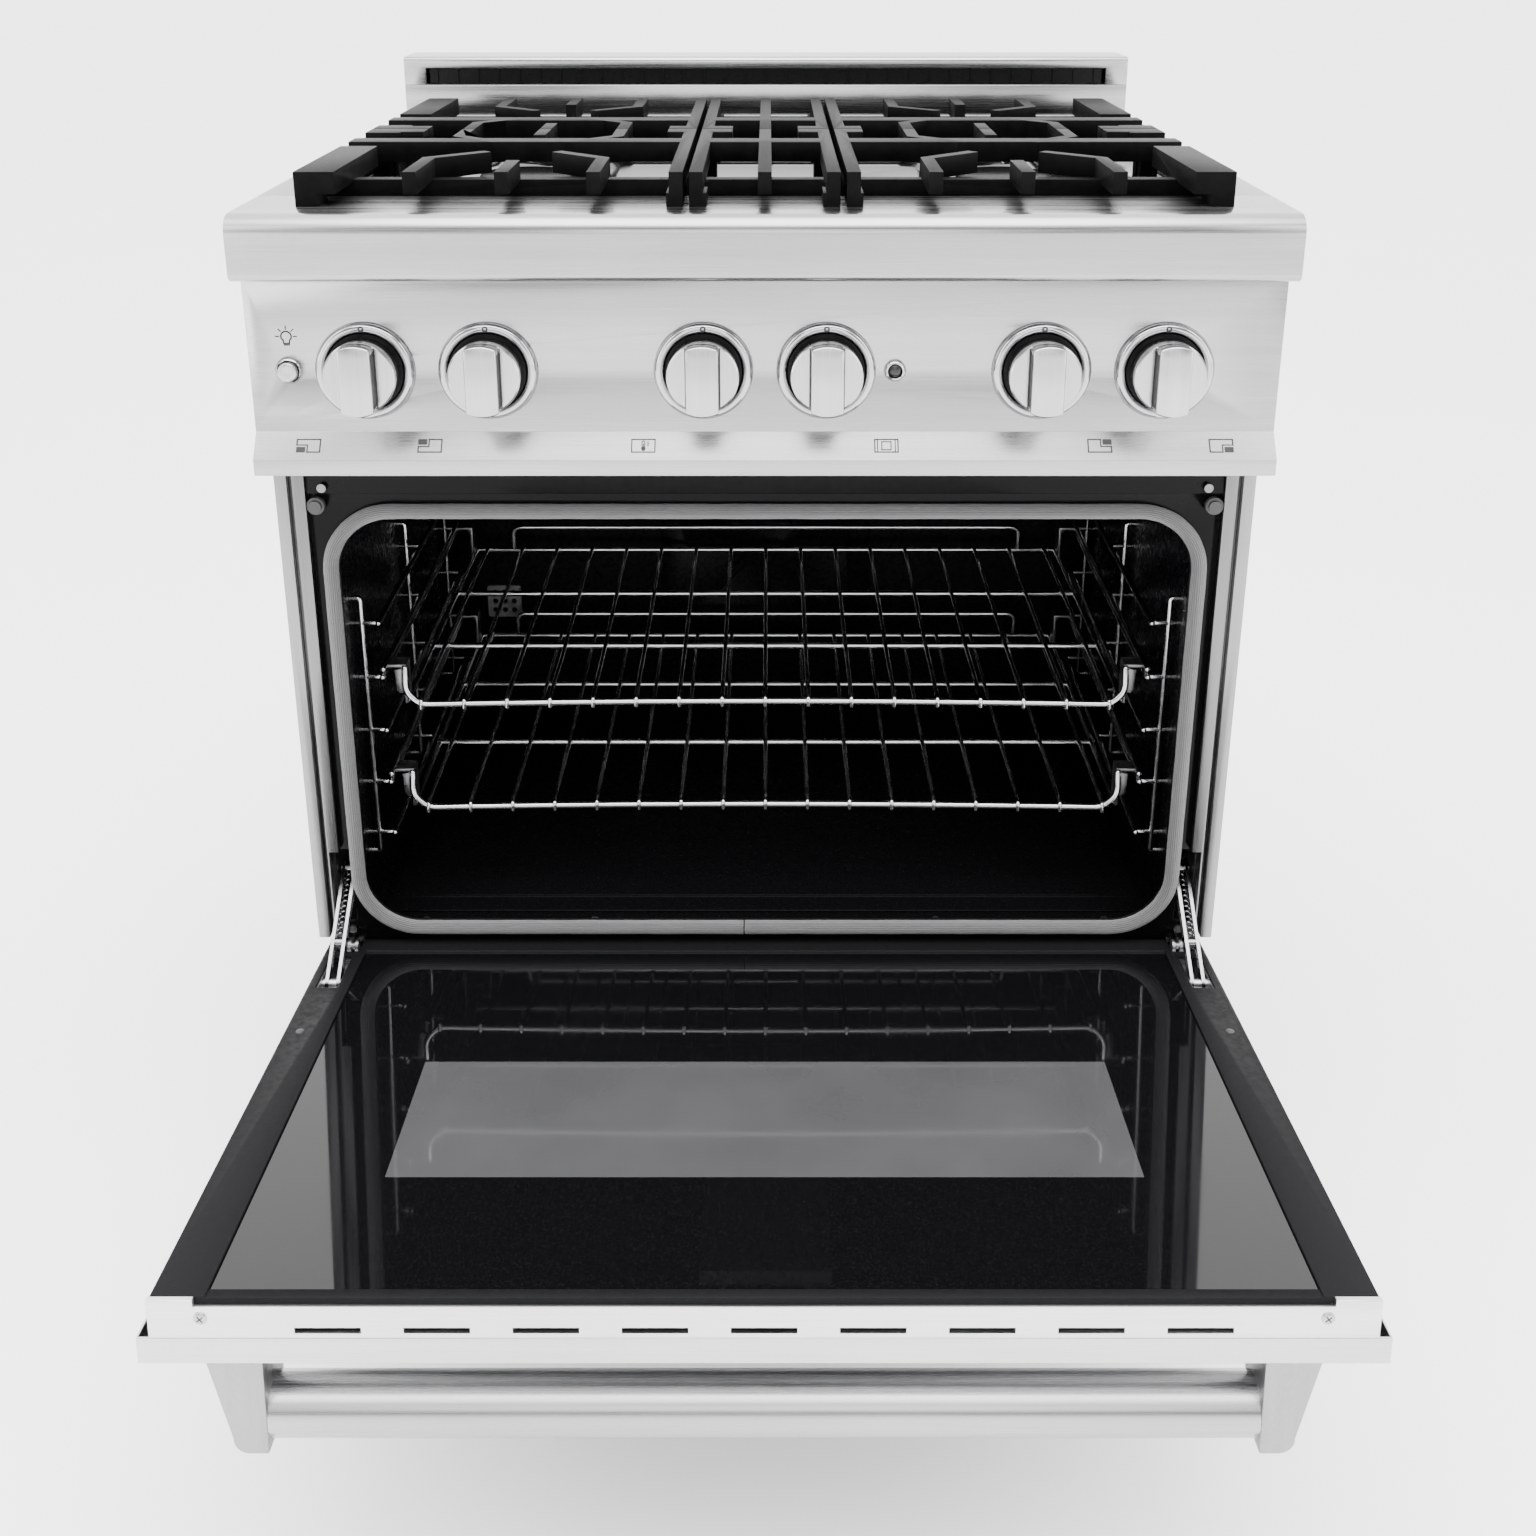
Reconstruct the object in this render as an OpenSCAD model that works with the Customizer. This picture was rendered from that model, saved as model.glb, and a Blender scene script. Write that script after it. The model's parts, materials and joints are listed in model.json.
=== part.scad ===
// Freestanding gas range, 30 inch class, built as an assembly of separate pieces.
// Millimetres. +X is to the right, +Y is to the back, +Z is up, and the floor is Z = 0.
// Pieces are drawn with Y = 0 at the front plane of the chassis, then moved so that the
// middle of the whole range, with its door open, is at Y = 0.

/* [Overall] */
// Width over the cooktop rim
range_width = 760; // [630:1:920]
// Depth of the chassis behind its front plane
body_depth = 645; // [530:1:780]
// Height of the cooktop rim above the floor
cooktop_height = 914; // [870:1:940]
// Height of the backguard above the rim
backguard_height = 59.5; // [40:0.5:160]
// Height of the legs under the base
leg_height = 105; // [60:1:150]

/* [Oven door] */
// Full height of the door
door_height = 464; // [400:1:500]
// Thickness of the door
door_thickness = 44; // [38:1:60]
// Angle the door stands open
door_open_angle = 84.6; // [60:0.1:90]
// How far the handle brackets stand out
handle_standoff = 74; // [60:1:90]
// Diameter of the handle bar
handle_diameter = 39; // [24:1:44]
// Width of the clear window
window_width = 508; // [350:1:560]
// Height of the clear window
window_height = 137; // [100:1:220]

/* [Oven] */
// Depth of the oven cavity
cavity_depth = 438; // [380:1:480]
// Height of the oven cavity
cavity_height = 375; // [300:1:390]
// Distance between rack levels
rack_pitch = 49; // [36:0.5:60]
// Number of rack levels
rack_levels = 5; // [3:1:6]
// Number of long wires in a rack
rack_wires = 17; // [11:1:21]
// Diameter of a rack wire
wire_diameter = 5; // [4:0.1:6]
// How far the deck of a rack hangs below its guide
rack_drop = 27; // [15:1:36]

/* [Control panel] */
// Diameter of a knob
knob_diameter = 53; // [40:1:58]
// Diameter of a knob bezel
bezel_diameter = 73; // [62:1:82]
// Width of the grip bar on a knob
grip_width = 24; // [14:1:28]
// Height of the panel face
panel_face_height = 116.5; // [95:0.5:130]
// From the end of the panel to its outer knob
knob_edge = 85; // [50:1:110]
// Distance between the two knobs of a pair
knob_pair = 90; // [80:1:110]
// From the end of the panel to the lamp button
button_edge = 29; // [18:1:40]
// From the oven knob to the indicator
indicator_offset = 50.5; // [42:0.5:70]
// Diameter of a knob stem
stem_diameter = 8; // [6:0.1:10]

/* [Cooktop] */
// Height of the rounded front rail
rail_height = 47.5; // [38:0.5:60]
// Height of the grate top above the rim
grate_height = 25; // [20:0.5:40]
// Width of a grate bar
grate_bar = 10; // [8:0.5:13]
// Diameter of the front burner caps
front_cap = 75; // [60:1:84]
// Diameter of the rear burner caps
rear_cap = 58; // [45:1:75]
// Depth of the spill tray below the rim
tray_depth = 19.5; // [12:0.5:26]
// Width of the steel rim at each side
side_rim = 28; // [20:1:40]

/* [Sheets, pins and fits] */
// Thickness of the body and liner sheet
sheet = 1.5; // [1:0.1:2]
// Thickness of the visible steel and glass-frame sheet
panel_sheet = 2; // [1.2:0.1:2.6]
// Thickness of the inner door glass
glass_thickness = 4; // [3:0.1:6]
// Diameter of the door pivot pins
pivot_pin = 6; // [5:0.1:8]
// Diameter of the strut pins in the door
strut_pin = 8; // [6:0.1:10]
// Length of a hinge strut
strut_length = 110; // [95:1:118]
// Diameter of a levelling bolt
leg_bolt = 14; // [8:0.1:16]
// Outside diameter of the gas pipe
gas_pipe = 21.34; // [13:0.01:27]
// Running clearance of every pin and stem, on the radius
pin_gap = 0.05; // [0.02:0.01:0.1]
// Clearance between a rack and its guides
rack_gap = 0.3; // [0.2:0.1:1]
// Clearance between a knob and its bezel
knob_gap = 1.6; // [0.8:0.1:3]
// Clearance between the sweeping door and the lower body
sweep_gap = 2.8; // [2:0.1:6]
// Distance from the end of the body to the gas pipe
inlet_edge = 128; // [60:1:200]

/* [Hidden] */
$fn = 64;

// widths
half_width = range_width / 2;
body_half = half_width - 2;
post_in = body_half - 23;
cavity_half = post_in - 15;

// heights, from the rim down
rim = cooktop_height;
rail_low = rim - rail_height;
face_low = rail_low - panel_face_height;
lip_top = face_low - 18;
lip_low = lip_top - 12;
door_top = lip_low - 4;
pivot_z = door_top - (door_height - 35);
pivot_y = -3;
post_low = pivot_z + 6;
cavity_low = pivot_z + 10;
cavity_top = cavity_low + cavity_height;
knob_z = face_low + 0.4 * panel_face_height;
panel_y = -30;

// depths
back = body_depth;
tray_front = 37;
tray_back = back - 70;
frame_y = 5;
liner_front = frame_y + 2;
cavity_back = liner_front + cavity_depth;

// the door, drawn shut: inner face at pivot_y, outer face door_thickness in front of it
door_in = pivot_y;
door_out = pivot_y - door_thickness;
door_low = door_top - door_height;
sweep = norm([door_thickness, pivot_z - door_low]) + sweep_gap;
pan_depth = 18;
glass_half = cavity_half - 4;
window_mid = pivot_z + 240 * door_height / 464;
handle_y = door_out - (handle_standoff - handle_diameter / 2 - 0.5);
handle_z = door_top - 29;
strut_pin_y = door_in - 8;
strut_pin_z = pivot_z + 48;
strut_angle = 36.9;
strut_x = post_in - 0.5;

// rest position of a point of the door
function swung_y(y, z) =
    pivot_y + (y - pivot_y) * cos(door_open_angle) - (z - pivot_z) * sin(door_open_angle);
function swung_z(y, z) =
    pivot_z + (y - pivot_y) * sin(door_open_angle) + (z - pivot_z) * cos(door_open_angle);

// middle of the whole range from front to back
front_of_all = min(swung_y(door_out, door_top), swung_y(door_out - handle_standoff, handle_z + 20));
shift_y = -(front_of_all + back) / 2;

// grates: drawn for a 760 wide and 645 deep range, then spread with the cooktop;
// their front feet and first cross bar keep their distance from the front of the tray
spread_x = range_width / 760;
grate_front = tray_front - 51;
seam_y = (tray_back + grate_front - 74) / 2;
function plan_y(y) = y < 63 ? y + tray_front - 37
    : seam_y - (243.5 - y) * (seam_y - tray_front - 26) / 180.5;
grate_top = rim + grate_height;
grate_low = grate_top - 16;
tray_floor = rim - tray_depth;
burner_x = 189 * spread_x;
burner_front_y = plan_y(120);
burner_rear_y = 2 * seam_y - burner_front_y;

// knobs, lamp button and indicator along the panel
knob_outer = body_half - knob_edge;
knob_x = [-knob_outer, -knob_outer + knob_pair, -knob_pair / 2,
          knob_pair / 2, knob_outer - knob_pair, knob_outer];
button_x = -(body_half - button_edge);
indicator_x = knob_pair / 2 + indicator_offset;
stem = stem_diameter / 2;
inlet_x = body_half - inlet_edge;
pipe = gas_pipe / 2;

// racks and guides
wire = wire_diameter / 2;
guide_x = cavity_half - 6;
runner_x = cavity_half - 20;
first_level = cavity_low + 66;
guide_front = 55;
guide_rear = cavity_back - 30;

// ---------- helpers ----------

module place() {
    translate([0, shift_y, 0]) children();
}

module on_door() {
    translate([0, shift_y + pivot_y, pivot_z])
    rotate([door_open_angle, 0, 0])
    translate([0, -pivot_y, -pivot_z])
    children();
}

module block(x0, x1, y0, y1, z0, z1) {
    translate([x0, y0, z0]) cube([x1 - x0, y1 - y0, z1 - z0]);
}

module both_sides() {
    children();
    mirror([1, 0, 0]) children();
}

// a round wire between two points
module rod(a, b, r) {
    d = b - a;
    length = norm(d);
    translate(a)
    rotate([0, acos(d[2] / length), atan2(d[1], d[0])])
    cylinder(h = length, r = r, $fn = 24);
}

// a cylinder along Y, starting at y0
module tube_y(x, z, y0, y1, r) {
    translate([x, y0, z]) rotate([-90, 0, 0]) cylinder(h = y1 - y0, r = r);
}

// a cylinder along X, starting at x0
module tube_x(y, z, x0, x1, r) {
    translate([x0, y, z]) rotate([0, 90, 0]) cylinder(h = x1 - x0, r = r);
}

// an outline in Y and Z, drawn out along X
module along_x(x0, x1) {
    translate([x0, 0, 0]) rotate([90, 0, 90]) linear_extrude(height = x1 - x0) children();
}

module rounded_rectangle(x0, x1, y0, y1, r) {
    translate([x0 + r, y0]) square([x1 - x0 - 2 * r, y1 - y0]);
    translate([x0, y0 + r]) square([x1 - x0, y1 - y0 - 2 * r]);
    for (x = [x0 + r, x1 - r]) {
        for (y = [y0 + r, y1 - r]) {
            translate([x, y]) circle(r = r);
        }
    }
}

// a rounded plate in X and Z, from y0 to y1
module plate_y(x0, x1, y0, y1, z0, z1, r) {
    translate([0, y1, 0])
    rotate([90, 0, 0])
    linear_extrude(height = y1 - y0)
    rounded_rectangle(x0, x1, z0, z1, r);
}

// ---------- chassis ----------

module side_panel() {
    difference() {
        union() {
            block(body_half - sheet, body_half, 0, back - 5, leg_height, rail_low + 14);
            block(body_half - 9.5, body_half - sheet, 0, 15, post_low, lip_low);
            block(body_half - 12, body_half - sheet, back - 6.5, back - 5, leg_height, rail_low);
            block(body_half - 12, body_half - sheet, 60, back - 60, leg_height, leg_height + sheet);
        }
        block(body_half - 20, body_half + 1, -1, 40, pivot_z - sweep, post_low);
        block(body_half - 20, body_half + 1, -1, 12, leg_height - 1, pivot_z - sweep + 1);
    }
}

module side_panel_left() {
    color("gainsboro") place() mirror([1, 0, 0]) side_panel();
}

module side_panel_right() {
    color("gainsboro") place() side_panel();
}

module rear_panel() {
    color("silver") place() difference() {
        union() {
            block(-body_half + sheet, body_half - sheet, back - 26, back - 24.5, leg_height + 2, rail_low);
            both_sides()
                block(body_half - 14, body_half - sheet, back - 24.5, back - 12, leg_height + 2, rail_low);
            for (z = [300, 480, 660]) {
                block(-260, 260, back - 24.5, back - 22, z, z + 12);
            }
        }
        tube_y(inlet_x, knob_z, back - 40, back, pipe + 2.3);
        tube_y(-inlet_x, 210, back - 40, back, 10.2);
    }
}

module base_pan() {
    color("silver") place() {
        difference() {
            block(-body_half + 13, body_half - 13, 14, back - 26, leg_height, leg_height + 2);
            for (x = [-body_half + 50, body_half - 50]) {
                for (y = [60, back - 60]) {
                    translate([x, y, leg_height - 1]) cylinder(h = 4, r = leg_bolt / 2 + pin_gap);
                }
            }
        }
        for (x = [-body_half + 50, body_half - 50]) {
            for (y = [60, back - 60]) {
                translate([x, y, leg_height - 45]) difference() {
                    cylinder(h = 45, r = 16);
                    translate([0, 0, -1]) cylinder(h = 47, r = leg_bolt / 2 + pin_gap);
                }
            }
        }
        both_sides() block(body_half - 15, body_half - 13, 60, back - 60, leg_height + 2, leg_height + 30);
        both_sides()
            block(body_half - 13, body_half - sheet, 60, back - 60, leg_height + 28, leg_height + 30);
    }
}

module levelling_feet() {
    color("dimgray") place() {
        for (x = [-body_half + 50, body_half - 50]) {
            for (y = [60, back - 60]) {
                translate([x, y, 0]) {
                    cylinder(h = 2, r1 = 17.5, r2 = 19);
                    translate([0, 0, 2]) cylinder(h = 6, r = 19);
                    translate([0, 0, 8]) cylinder(h = 4, r1 = 19, r2 = 11);
                    translate([0, 0, 12]) cylinder(h = leg_height - 17, r = leg_bolt / 2);
                }
            }
        }
    }
}

module kick_panel() {
    color("gainsboro") place() {
        block(-body_half + sheet, body_half - sheet, 12, 14, leg_height, pivot_z - sweep - 2);
        block(-body_half + sheet, body_half - sheet, 12, 40, pivot_z - sweep - 2, pivot_z - sweep);
        block(-body_half + sheet, body_half - sheet, 38, 40, pivot_z - sweep, pivot_z + 1.5);
    }
}

module front_posts() {
    color("gainsboro") place() both_sides() difference() {
        union() {
            block(post_in, post_in + 9.6, 0, 15, post_low, lip_low);
            block(post_in + 9.6, body_half - 9.5, 6, 8, post_low, lip_low);
        }
        block(post_in - 1, post_in + 7.6, -1, 16, pivot_z + 21, pivot_z + 88);
    }
}

module front_frame() {
    color("dimgray") place() difference() {
        union() {
            block(-post_in, post_in, frame_y, frame_y + 2, pivot_z + 3, lip_low);
            block(-post_in, post_in, 2, frame_y, lip_low - 30, lip_low - 15);
            block(-post_in, post_in, -1, frame_y, lip_low - 15, lip_low - 1);
            block(-post_in + 12, post_in - 12, frame_y + 2, 40, pivot_z + 3, pivot_z + 5);
        }
        plate_y(-cavity_half + 6, cavity_half - 6, -3, frame_y + 3, cavity_low + 11, cavity_top - 4, 43);
        both_sides() block(post_in - 9, post_in + 1, -2, 60, pivot_z + 21, pivot_z + 88);
    }
}

module oven_liner() {
    color("dimgray") place() difference() {
        block(-cavity_half - sheet, cavity_half + sheet, liner_front, cavity_back + sheet,
              cavity_low - sheet, cavity_top + sheet);
        block(-cavity_half, cavity_half, liner_front - 1, cavity_back, cavity_low, cavity_top);
    }
}

module oven_floor_plate() {
    color("dimgray") place() {
        block(-cavity_half + 8, cavity_half - 8, 32, cavity_back - 5, cavity_low, cavity_low + 2);
        block(-cavity_half + 14, cavity_half - 14, 53, cavity_back - 9, cavity_low + 2, cavity_low + 4);
    }
}

module insulation() {
    wool_half = body_half - 6;
    color("khaki") place() difference() {
        block(-wool_half, wool_half, 135, cavity_back + 30, cavity_low - 25, cavity_top + 30);
        block(-cavity_half - sheet, cavity_half + sheet, 134, cavity_back + sheet,
              cavity_low - sheet, cavity_top + sheet);
        block(-120, 120, 134, cavity_back + 31, cavity_low - 26, cavity_low - sheet);
    }
}

// seal round the oven mouth: a flat-backed round cord with its ends butted at the bottom
module gasket_section() {
    intersection() {
        translate([0, 1.1]) circle(r = 6.1);
        translate([-7, 0]) square([14, 8]);
    }
}

module door_gasket() {
    gx = cavity_half + 1;
    low = cavity_low + 4;
    top = cavity_top + 3;
    r = 50;
    color("darkgray") place() translate([0, frame_y, 0]) rotate([90, 0, 0]) {
        for (s = [-1, 1]) {
            translate([s * gx, low + r, 0]) rotate([-90, 0, 0]) mirror([0, 1, 0])
                linear_extrude(height = top - low - 2 * r) gasket_section();
        }
        translate([-gx + r, top, 0]) rotate([90, 0, 90])
            linear_extrude(height = 2 * gx - 2 * r) gasket_section();
        translate([-gx + r, low, 0]) rotate([90, 0, 90])
            linear_extrude(height = gx - r - 18.4) gasket_section();
        translate([-17.6, low, 0]) rotate([90, 0, 90])
            linear_extrude(height = gx - r + 17.6) gasket_section();
        for (c = [[gx - r, top - r, 0], [-gx + r, top - r, 90],
                  [-gx + r, low + r, 180], [gx - r, low + r, 270]]) {
            translate([c[0], c[1], 0]) rotate([0, 0, c[2]])
                rotate_extrude(angle = 90) translate([r, 0]) gasket_section();
        }
    }
}

module door_bumpers() {
    color("gray") place() both_sides() {
        tube_y(post_in - 7, cavity_top + 8, -1.5, frame_y, 4.8);
        tube_y(post_in - 7, cavity_top + 8, 1, frame_y, 6.9);
    }
}

module frame_screws() {
    color("silver") place() {
        for (x = [-0.855, -0.43, 0.43, 0.855]) {
            translate([x * cavity_half, 20, cavity_low]) cylinder(h = 2, r1 = 4.2, r2 = 3);
        }
        for (x = [-0.5, 0.5]) {
            translate([x * cavity_half, 60, cavity_top - 2]) cylinder(h = 2, r1 = 3, r2 = 4.2);
        }
        both_sides() tube_y(post_in - 13, cavity_top + 23, frame_y - 5, frame_y - 3, 3.5);
        both_sides() tube_y(post_in - 5, pivot_z + 12, frame_y - 2, frame_y, 3.5);
    }
}

// ladder of bent wire on each side wall
module rack_guides() {
    z0 = first_level - 18;
    z1 = first_level + rack_pitch * (rack_levels - 1) + 22;
    color("silver") place() both_sides() {
        for (y = [guide_front, (guide_front + guide_rear) / 2, guide_rear]) {
            rod([guide_x, y, z0], [guide_x, y, z1], wire);
            for (z = [z0, z1]) {
                rod([guide_x - wire, y, z], [cavity_half, y, z], wire);
            }
        }
        for (i = [0 : rack_levels - 1]) {
            z = first_level + i * rack_pitch;
            rod([runner_x, guide_front - wire, z], [runner_x, guide_rear + wire, z], wire);
            for (y = [guide_front, (guide_front + guide_rear) / 2, guide_rear]) {
                rod([runner_x, y, z], [guide_x, y, z], wire * 0.9);
            }
        }
    }
}

module oven_burners() {
    color("darkgray") place() {
        tube_y(0, cavity_low - 32, 60, cavity_back - 40, 14);
        for (y = [100, cavity_back - 90]) {
            block(-14, 14, y, y + 12, cavity_low - 25, cavity_low - sheet);
        }
        block(-62, 62, 90, cavity_back - 70, cavity_top - 30, cavity_top - 16);
        for (x = [-40, 40]) {
            for (y = [110, cavity_back - 90]) {
                translate([x, y, cavity_top - 18]) cylinder(h = 18, r = 4);
            }
        }
    }
}

// pressed cover over the oven fan opening, with spokes cut between raised ribs
module fan_cover() {
    z = (cavity_low + cavity_top) / 2;
    color("dimgray") place() difference() {
        plate_y(-110, 110, cavity_back - 4, cavity_back, z - 105, z + 105, 20);
        for (a = [0 : 45 : 315]) {
            translate([0, cavity_back - 2, z]) rotate([0, a, 0])
                block(34, 84, -3, 3, -3.5, 3.5);
        }
    }
}

module sensor_grille() {
    x = -280 * spread_x;
    z = cavity_low + 120;
    color("darkgray") place() difference() {
        plate_y(x - 18, x + 18, cavity_back - 3, cavity_back, z - 18, z + 18, 3);
        for (i = [-1 : 1]) {
            for (j = [-1 : 1]) {
                tube_y(x + i * 10, z + j * 10, cavity_back - 4, cavity_back + 1, 3);
            }
        }
    }
}

module hinge_receivers() {
    color("silver") place() both_sides() {
        difference() {
            block(strut_x - 8.5, strut_x + 9, 15, 125, pivot_z + 9, pivot_z + 138);
            block(strut_x - 7.3, strut_x + 7.8, 14, 123.8, pivot_z + 11, pivot_z + 136.8);
        }
        difference() {
            union() {
                tube_x(pivot_y, pivot_z, strut_x - 4.5, strut_x + 4.5, 5.5);
                block(strut_x - 4.5, strut_x + 4.5, pivot_y, 34, pivot_z - 5.5, pivot_z + 2.5);
                block(strut_x - 4.5, strut_x + 4.5, 22, 34, pivot_z + 2, pivot_z + 9.5);
            }
            tube_x(pivot_y, pivot_z, strut_x - 6, strut_x + 6, pivot_pin / 2 + pin_gap);
        }
    }
}

// ---------- control panel ----------

module control_panel() {
    t = panel_sheet;
    color("gainsboro") place() difference() {
        along_x(-body_half, body_half) polygon([
            [0, rail_low], [panel_y, rail_low], [panel_y, face_low],
            [panel_y - 14.3, lip_top], [panel_y - 14.3, lip_low], [0, lip_low]]);
        along_x(-body_half + t, body_half - t) polygon([
            [1, rail_low - t], [panel_y + t, rail_low - t], [panel_y + t, face_low - 0.4 * t],
            [panel_y - 14.3 + t, lip_top - 0.4 * t], [panel_y - 14.3 + t, lip_low + t], [1, lip_low + t]]);
        for (x = knob_x) {
            tube_y(x, knob_z, panel_y - 5, panel_y + 5, stem + 3);
        }
        tube_y(button_x, knob_z, panel_y - 5, panel_y + 5, 7.8);
        tube_y(indicator_x, knob_z, panel_y - 5, panel_y + 5, 5);
    }
}

module bezel(x, z) {
    r = bezel_diameter / 2;
    difference() {
        union() {
            tube_y(x, z, panel_y - 3.5, panel_y, r);
            translate([x, panel_y - 3.5, z]) rotate([90, 0, 0]) cylinder(h = 2, r1 = r, r2 = r - 3);
        }
        tube_y(x, z, panel_y - 8, panel_y + 1, stem + 4);
        tube_y(x, z, panel_y - 8, panel_y - 3, knob_diameter / 2 + knob_gap);
    }
    difference() {
        tube_y(x, z + r - 5.6, panel_y - 6, panel_y - 5.4, 1.7);
        tube_y(x, z + r - 5.6, panel_y - 7, panel_y - 5.3, 0.9);
    }
}

module ring(x, z, outer, inner) {
    difference() {
        tube_y(x, z, panel_y - 2.5, panel_y, outer);
        tube_y(x, z, panel_y - 3, panel_y + 1, inner);
    }
}

module panel_bezels() {
    color("silver") place() {
        for (x = knob_x) {
            bezel(x, knob_z);
        }
        ring(button_x, knob_z, 10, 7.8);
        ring(indicator_x, knob_z, 8, 5);
    }
}

module indicator_lamp() {
    color("dimgray") place() {
        tube_y(indicator_x, knob_z, panel_y - 3, panel_y + 12, 4.9);
        tube_y(indicator_x, knob_z, panel_y + 2, panel_y + 10, 7);
    }
}

module lamp_button() {
    color("silver") place() {
        tube_y(button_x, knob_z, panel_y - 7, panel_y + 10, 7.5);
        tube_y(button_x, knob_z, panel_y + 2.6, panel_y + 5, 9.5);
    }
}

module knob(x) {
    r = knob_diameter / 2;
    color("silver") place() {
        difference() {
            union() {
                tube_y(x, knob_z, panel_y - 20, panel_y - 3.6, r);
                translate([x, panel_y - 20, knob_z]) rotate([90, 0, 0]) cylinder(h = 2, r1 = r, r2 = r - 2);
            }
            tube_y(x, knob_z, panel_y - 8, panel_y - 3, r - 3);
        }
        intersection() {
            block(x - grip_width / 2, x + grip_width / 2, panel_y - 35, panel_y - 21,
                  knob_z - r, knob_z + r);
            tube_y(x, knob_z, panel_y - 35, panel_y - 21, r - 1);
        }
        tube_y(x, knob_z, panel_y - 12, panel_y + 28, stem);
    }
}

module knob_front_left() { knob(knob_x[0]); }
module knob_rear_left() { knob(knob_x[1]); }
module knob_temperature() { knob(knob_x[2]); }
module knob_oven() { knob(knob_x[3]); }
module knob_rear_right() { knob(knob_x[4]); }
module knob_front_right() { knob(knob_x[5]); }

module gas_manifold() {
    color("darkgray") place() difference() {
        union() {
            tube_x(35, knob_z, -body_half + sheet, body_half - sheet, 11);
            for (x = knob_x) {
                tube_y(x, knob_z, panel_y + 12, 30, 13);
            }
            block(inlet_x - 14, inlet_x + 14, 40, 56, knob_z - 14, knob_z + 14);
        }
        for (x = knob_x) {
            tube_y(x, knob_z, panel_y + 11, panel_y + 29, stem + pin_gap);
        }
    }
}

module gas_inlet() {
    x = inlet_x;
    color("goldenrod") place() difference() {
        union() {
            tube_y(x, knob_z, 56, back - 2, pipe);
            translate([x, back - 24.5, knob_z]) rotate([-90, 0, 0]) cylinder(h = 3, r = pipe + 6.3, $fn = 6);
        }
        tube_y(x, knob_z, back - 30, back, pipe - 2.8);
    }
}

module cord_gland() {
    x = -inlet_x;
    color("dimgray") place() difference() {
        union() {
            tube_y(x, 210, back - 30, back - 24.5, 10);
            tube_y(x, 210, back - 24.5, back - 5, 14);
        }
        tube_y(x, 210, back - 31, back - 4, 5);
    }
}

// ---------- cooktop ----------

module rail_outline(inset) {
    translate([-38.7, rim - 14]) circle(r = 14 - inset);
    translate([-46.7, rail_low + 6]) circle(r = 6 - inset);
    translate([-38.7, rim - 14]) square([tray_front + 38.7, 14 - inset]);
    translate([-52.7 + inset, rail_low + 6]) square([tray_front + 52.7, rail_height - 20]);
    translate([-46.7, rail_low + inset]) square([46.7, 6]);
}

module front_rail() {
    color("gainsboro") place() difference() {
        along_x(-half_width, half_width) intersection() {
            rail_outline(0);
            translate([-60, rail_low]) square([60 + tray_front, rail_height]);
        }
        along_x(-half_width + 2, half_width - 2) rail_outline(2);
        block(-half_width - 1, half_width + 1, 0, tray_front + 1, rail_low - 1, rim - 14);
        along_x(-half_width + 2, half_width - 2) translate([-1, rail_low + 2])
            square([tray_front + 2, rail_height - 4]);
    }
}

module cooktop_rims() {
    color("gainsboro") place() {
        both_sides() {
            block(half_width - side_rim, half_width, tray_front, back, rim - 2, rim);
            block(half_width - 2, half_width, tray_front, back, rail_low, rim - 2);
            block(half_width - 2, half_width, 0, tray_front, rail_low, rim - 14);
        }
        block(-half_width + side_rim, half_width - side_rim, tray_back, back, rim - 2, rim);
        block(-half_width + 2, half_width - 2, back - 2, back, rail_low, rim - 2);
    }
}

module spill_tray() {
    x = half_width - side_rim;
    color("dimgray") place() difference() {
        union() {
            block(-x, x, tray_front, tray_back, rim - 21, rim - 2);
            block(-x - 8, x + 8, tray_front - 8, tray_back + 8, rim - 4, rim - 2);
            block(-x + 0.5, x - 0.5, tray_front + 0.5, tray_back - 0.5, rim - 3, rim - 1);
        }
        difference() {
            block(-x + 2, x - 2, tray_front + 2, tray_back - 2, tray_floor, rim + 1);
            for (s = [-1, 1]) {
                for (y = [burner_front_y, burner_rear_y]) {
                    translate([s * burner_x, y, tray_floor - 1]) cylinder(h = 4, r1 = 66, r2 = 60);
                }
            }
        }
        for (s = [-1, 1]) {
            for (y = [burner_front_y, burner_rear_y]) {
                translate([s * burner_x, y, rim - 40]) cylinder(h = 40, r = 19.2);
            }
        }
    }
}

// burner head with a ring of gas ports round it and an igniter beside it
module burner_head(x, y, r, away) {
    z = tray_floor + 3;
    translate([x, y, z]) {
        difference() {
            union() {
                cylinder(h = 5, r = r + 3);
                cylinder(h = rim - z, r = r - 2);
            }
            for (i = [0 : 23]) {
                rotate([0, 0, i * 15]) translate([r - 8, -0.8, 9]) cube([10, 1.6, 4]);
            }
        }
        translate([0, 0, -22]) cylinder(h = 23, r = 19);
        translate([0, away * (r + 8), 0]) cylinder(h = 12, r = 2.5);
        translate([-3, away * (r - 1) - 4, 0]) cube([6, 10, 3]);
    }
}

module burner_bases() {
    color("silver") place() {
        for (s = [-1, 1]) {
            burner_head(s * burner_x, burner_front_y, front_cap / 2, 1);
            burner_head(s * burner_x, burner_rear_y, rear_cap / 2, 1);
        }
    }
}

module cap(x, y, r) {
    translate([x, y, rim]) {
        cylinder(h = 3.5, r = r);
        translate([0, 0, 3.5]) cylinder(h = 2, r1 = r, r2 = r - 3);
    }
}

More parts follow.
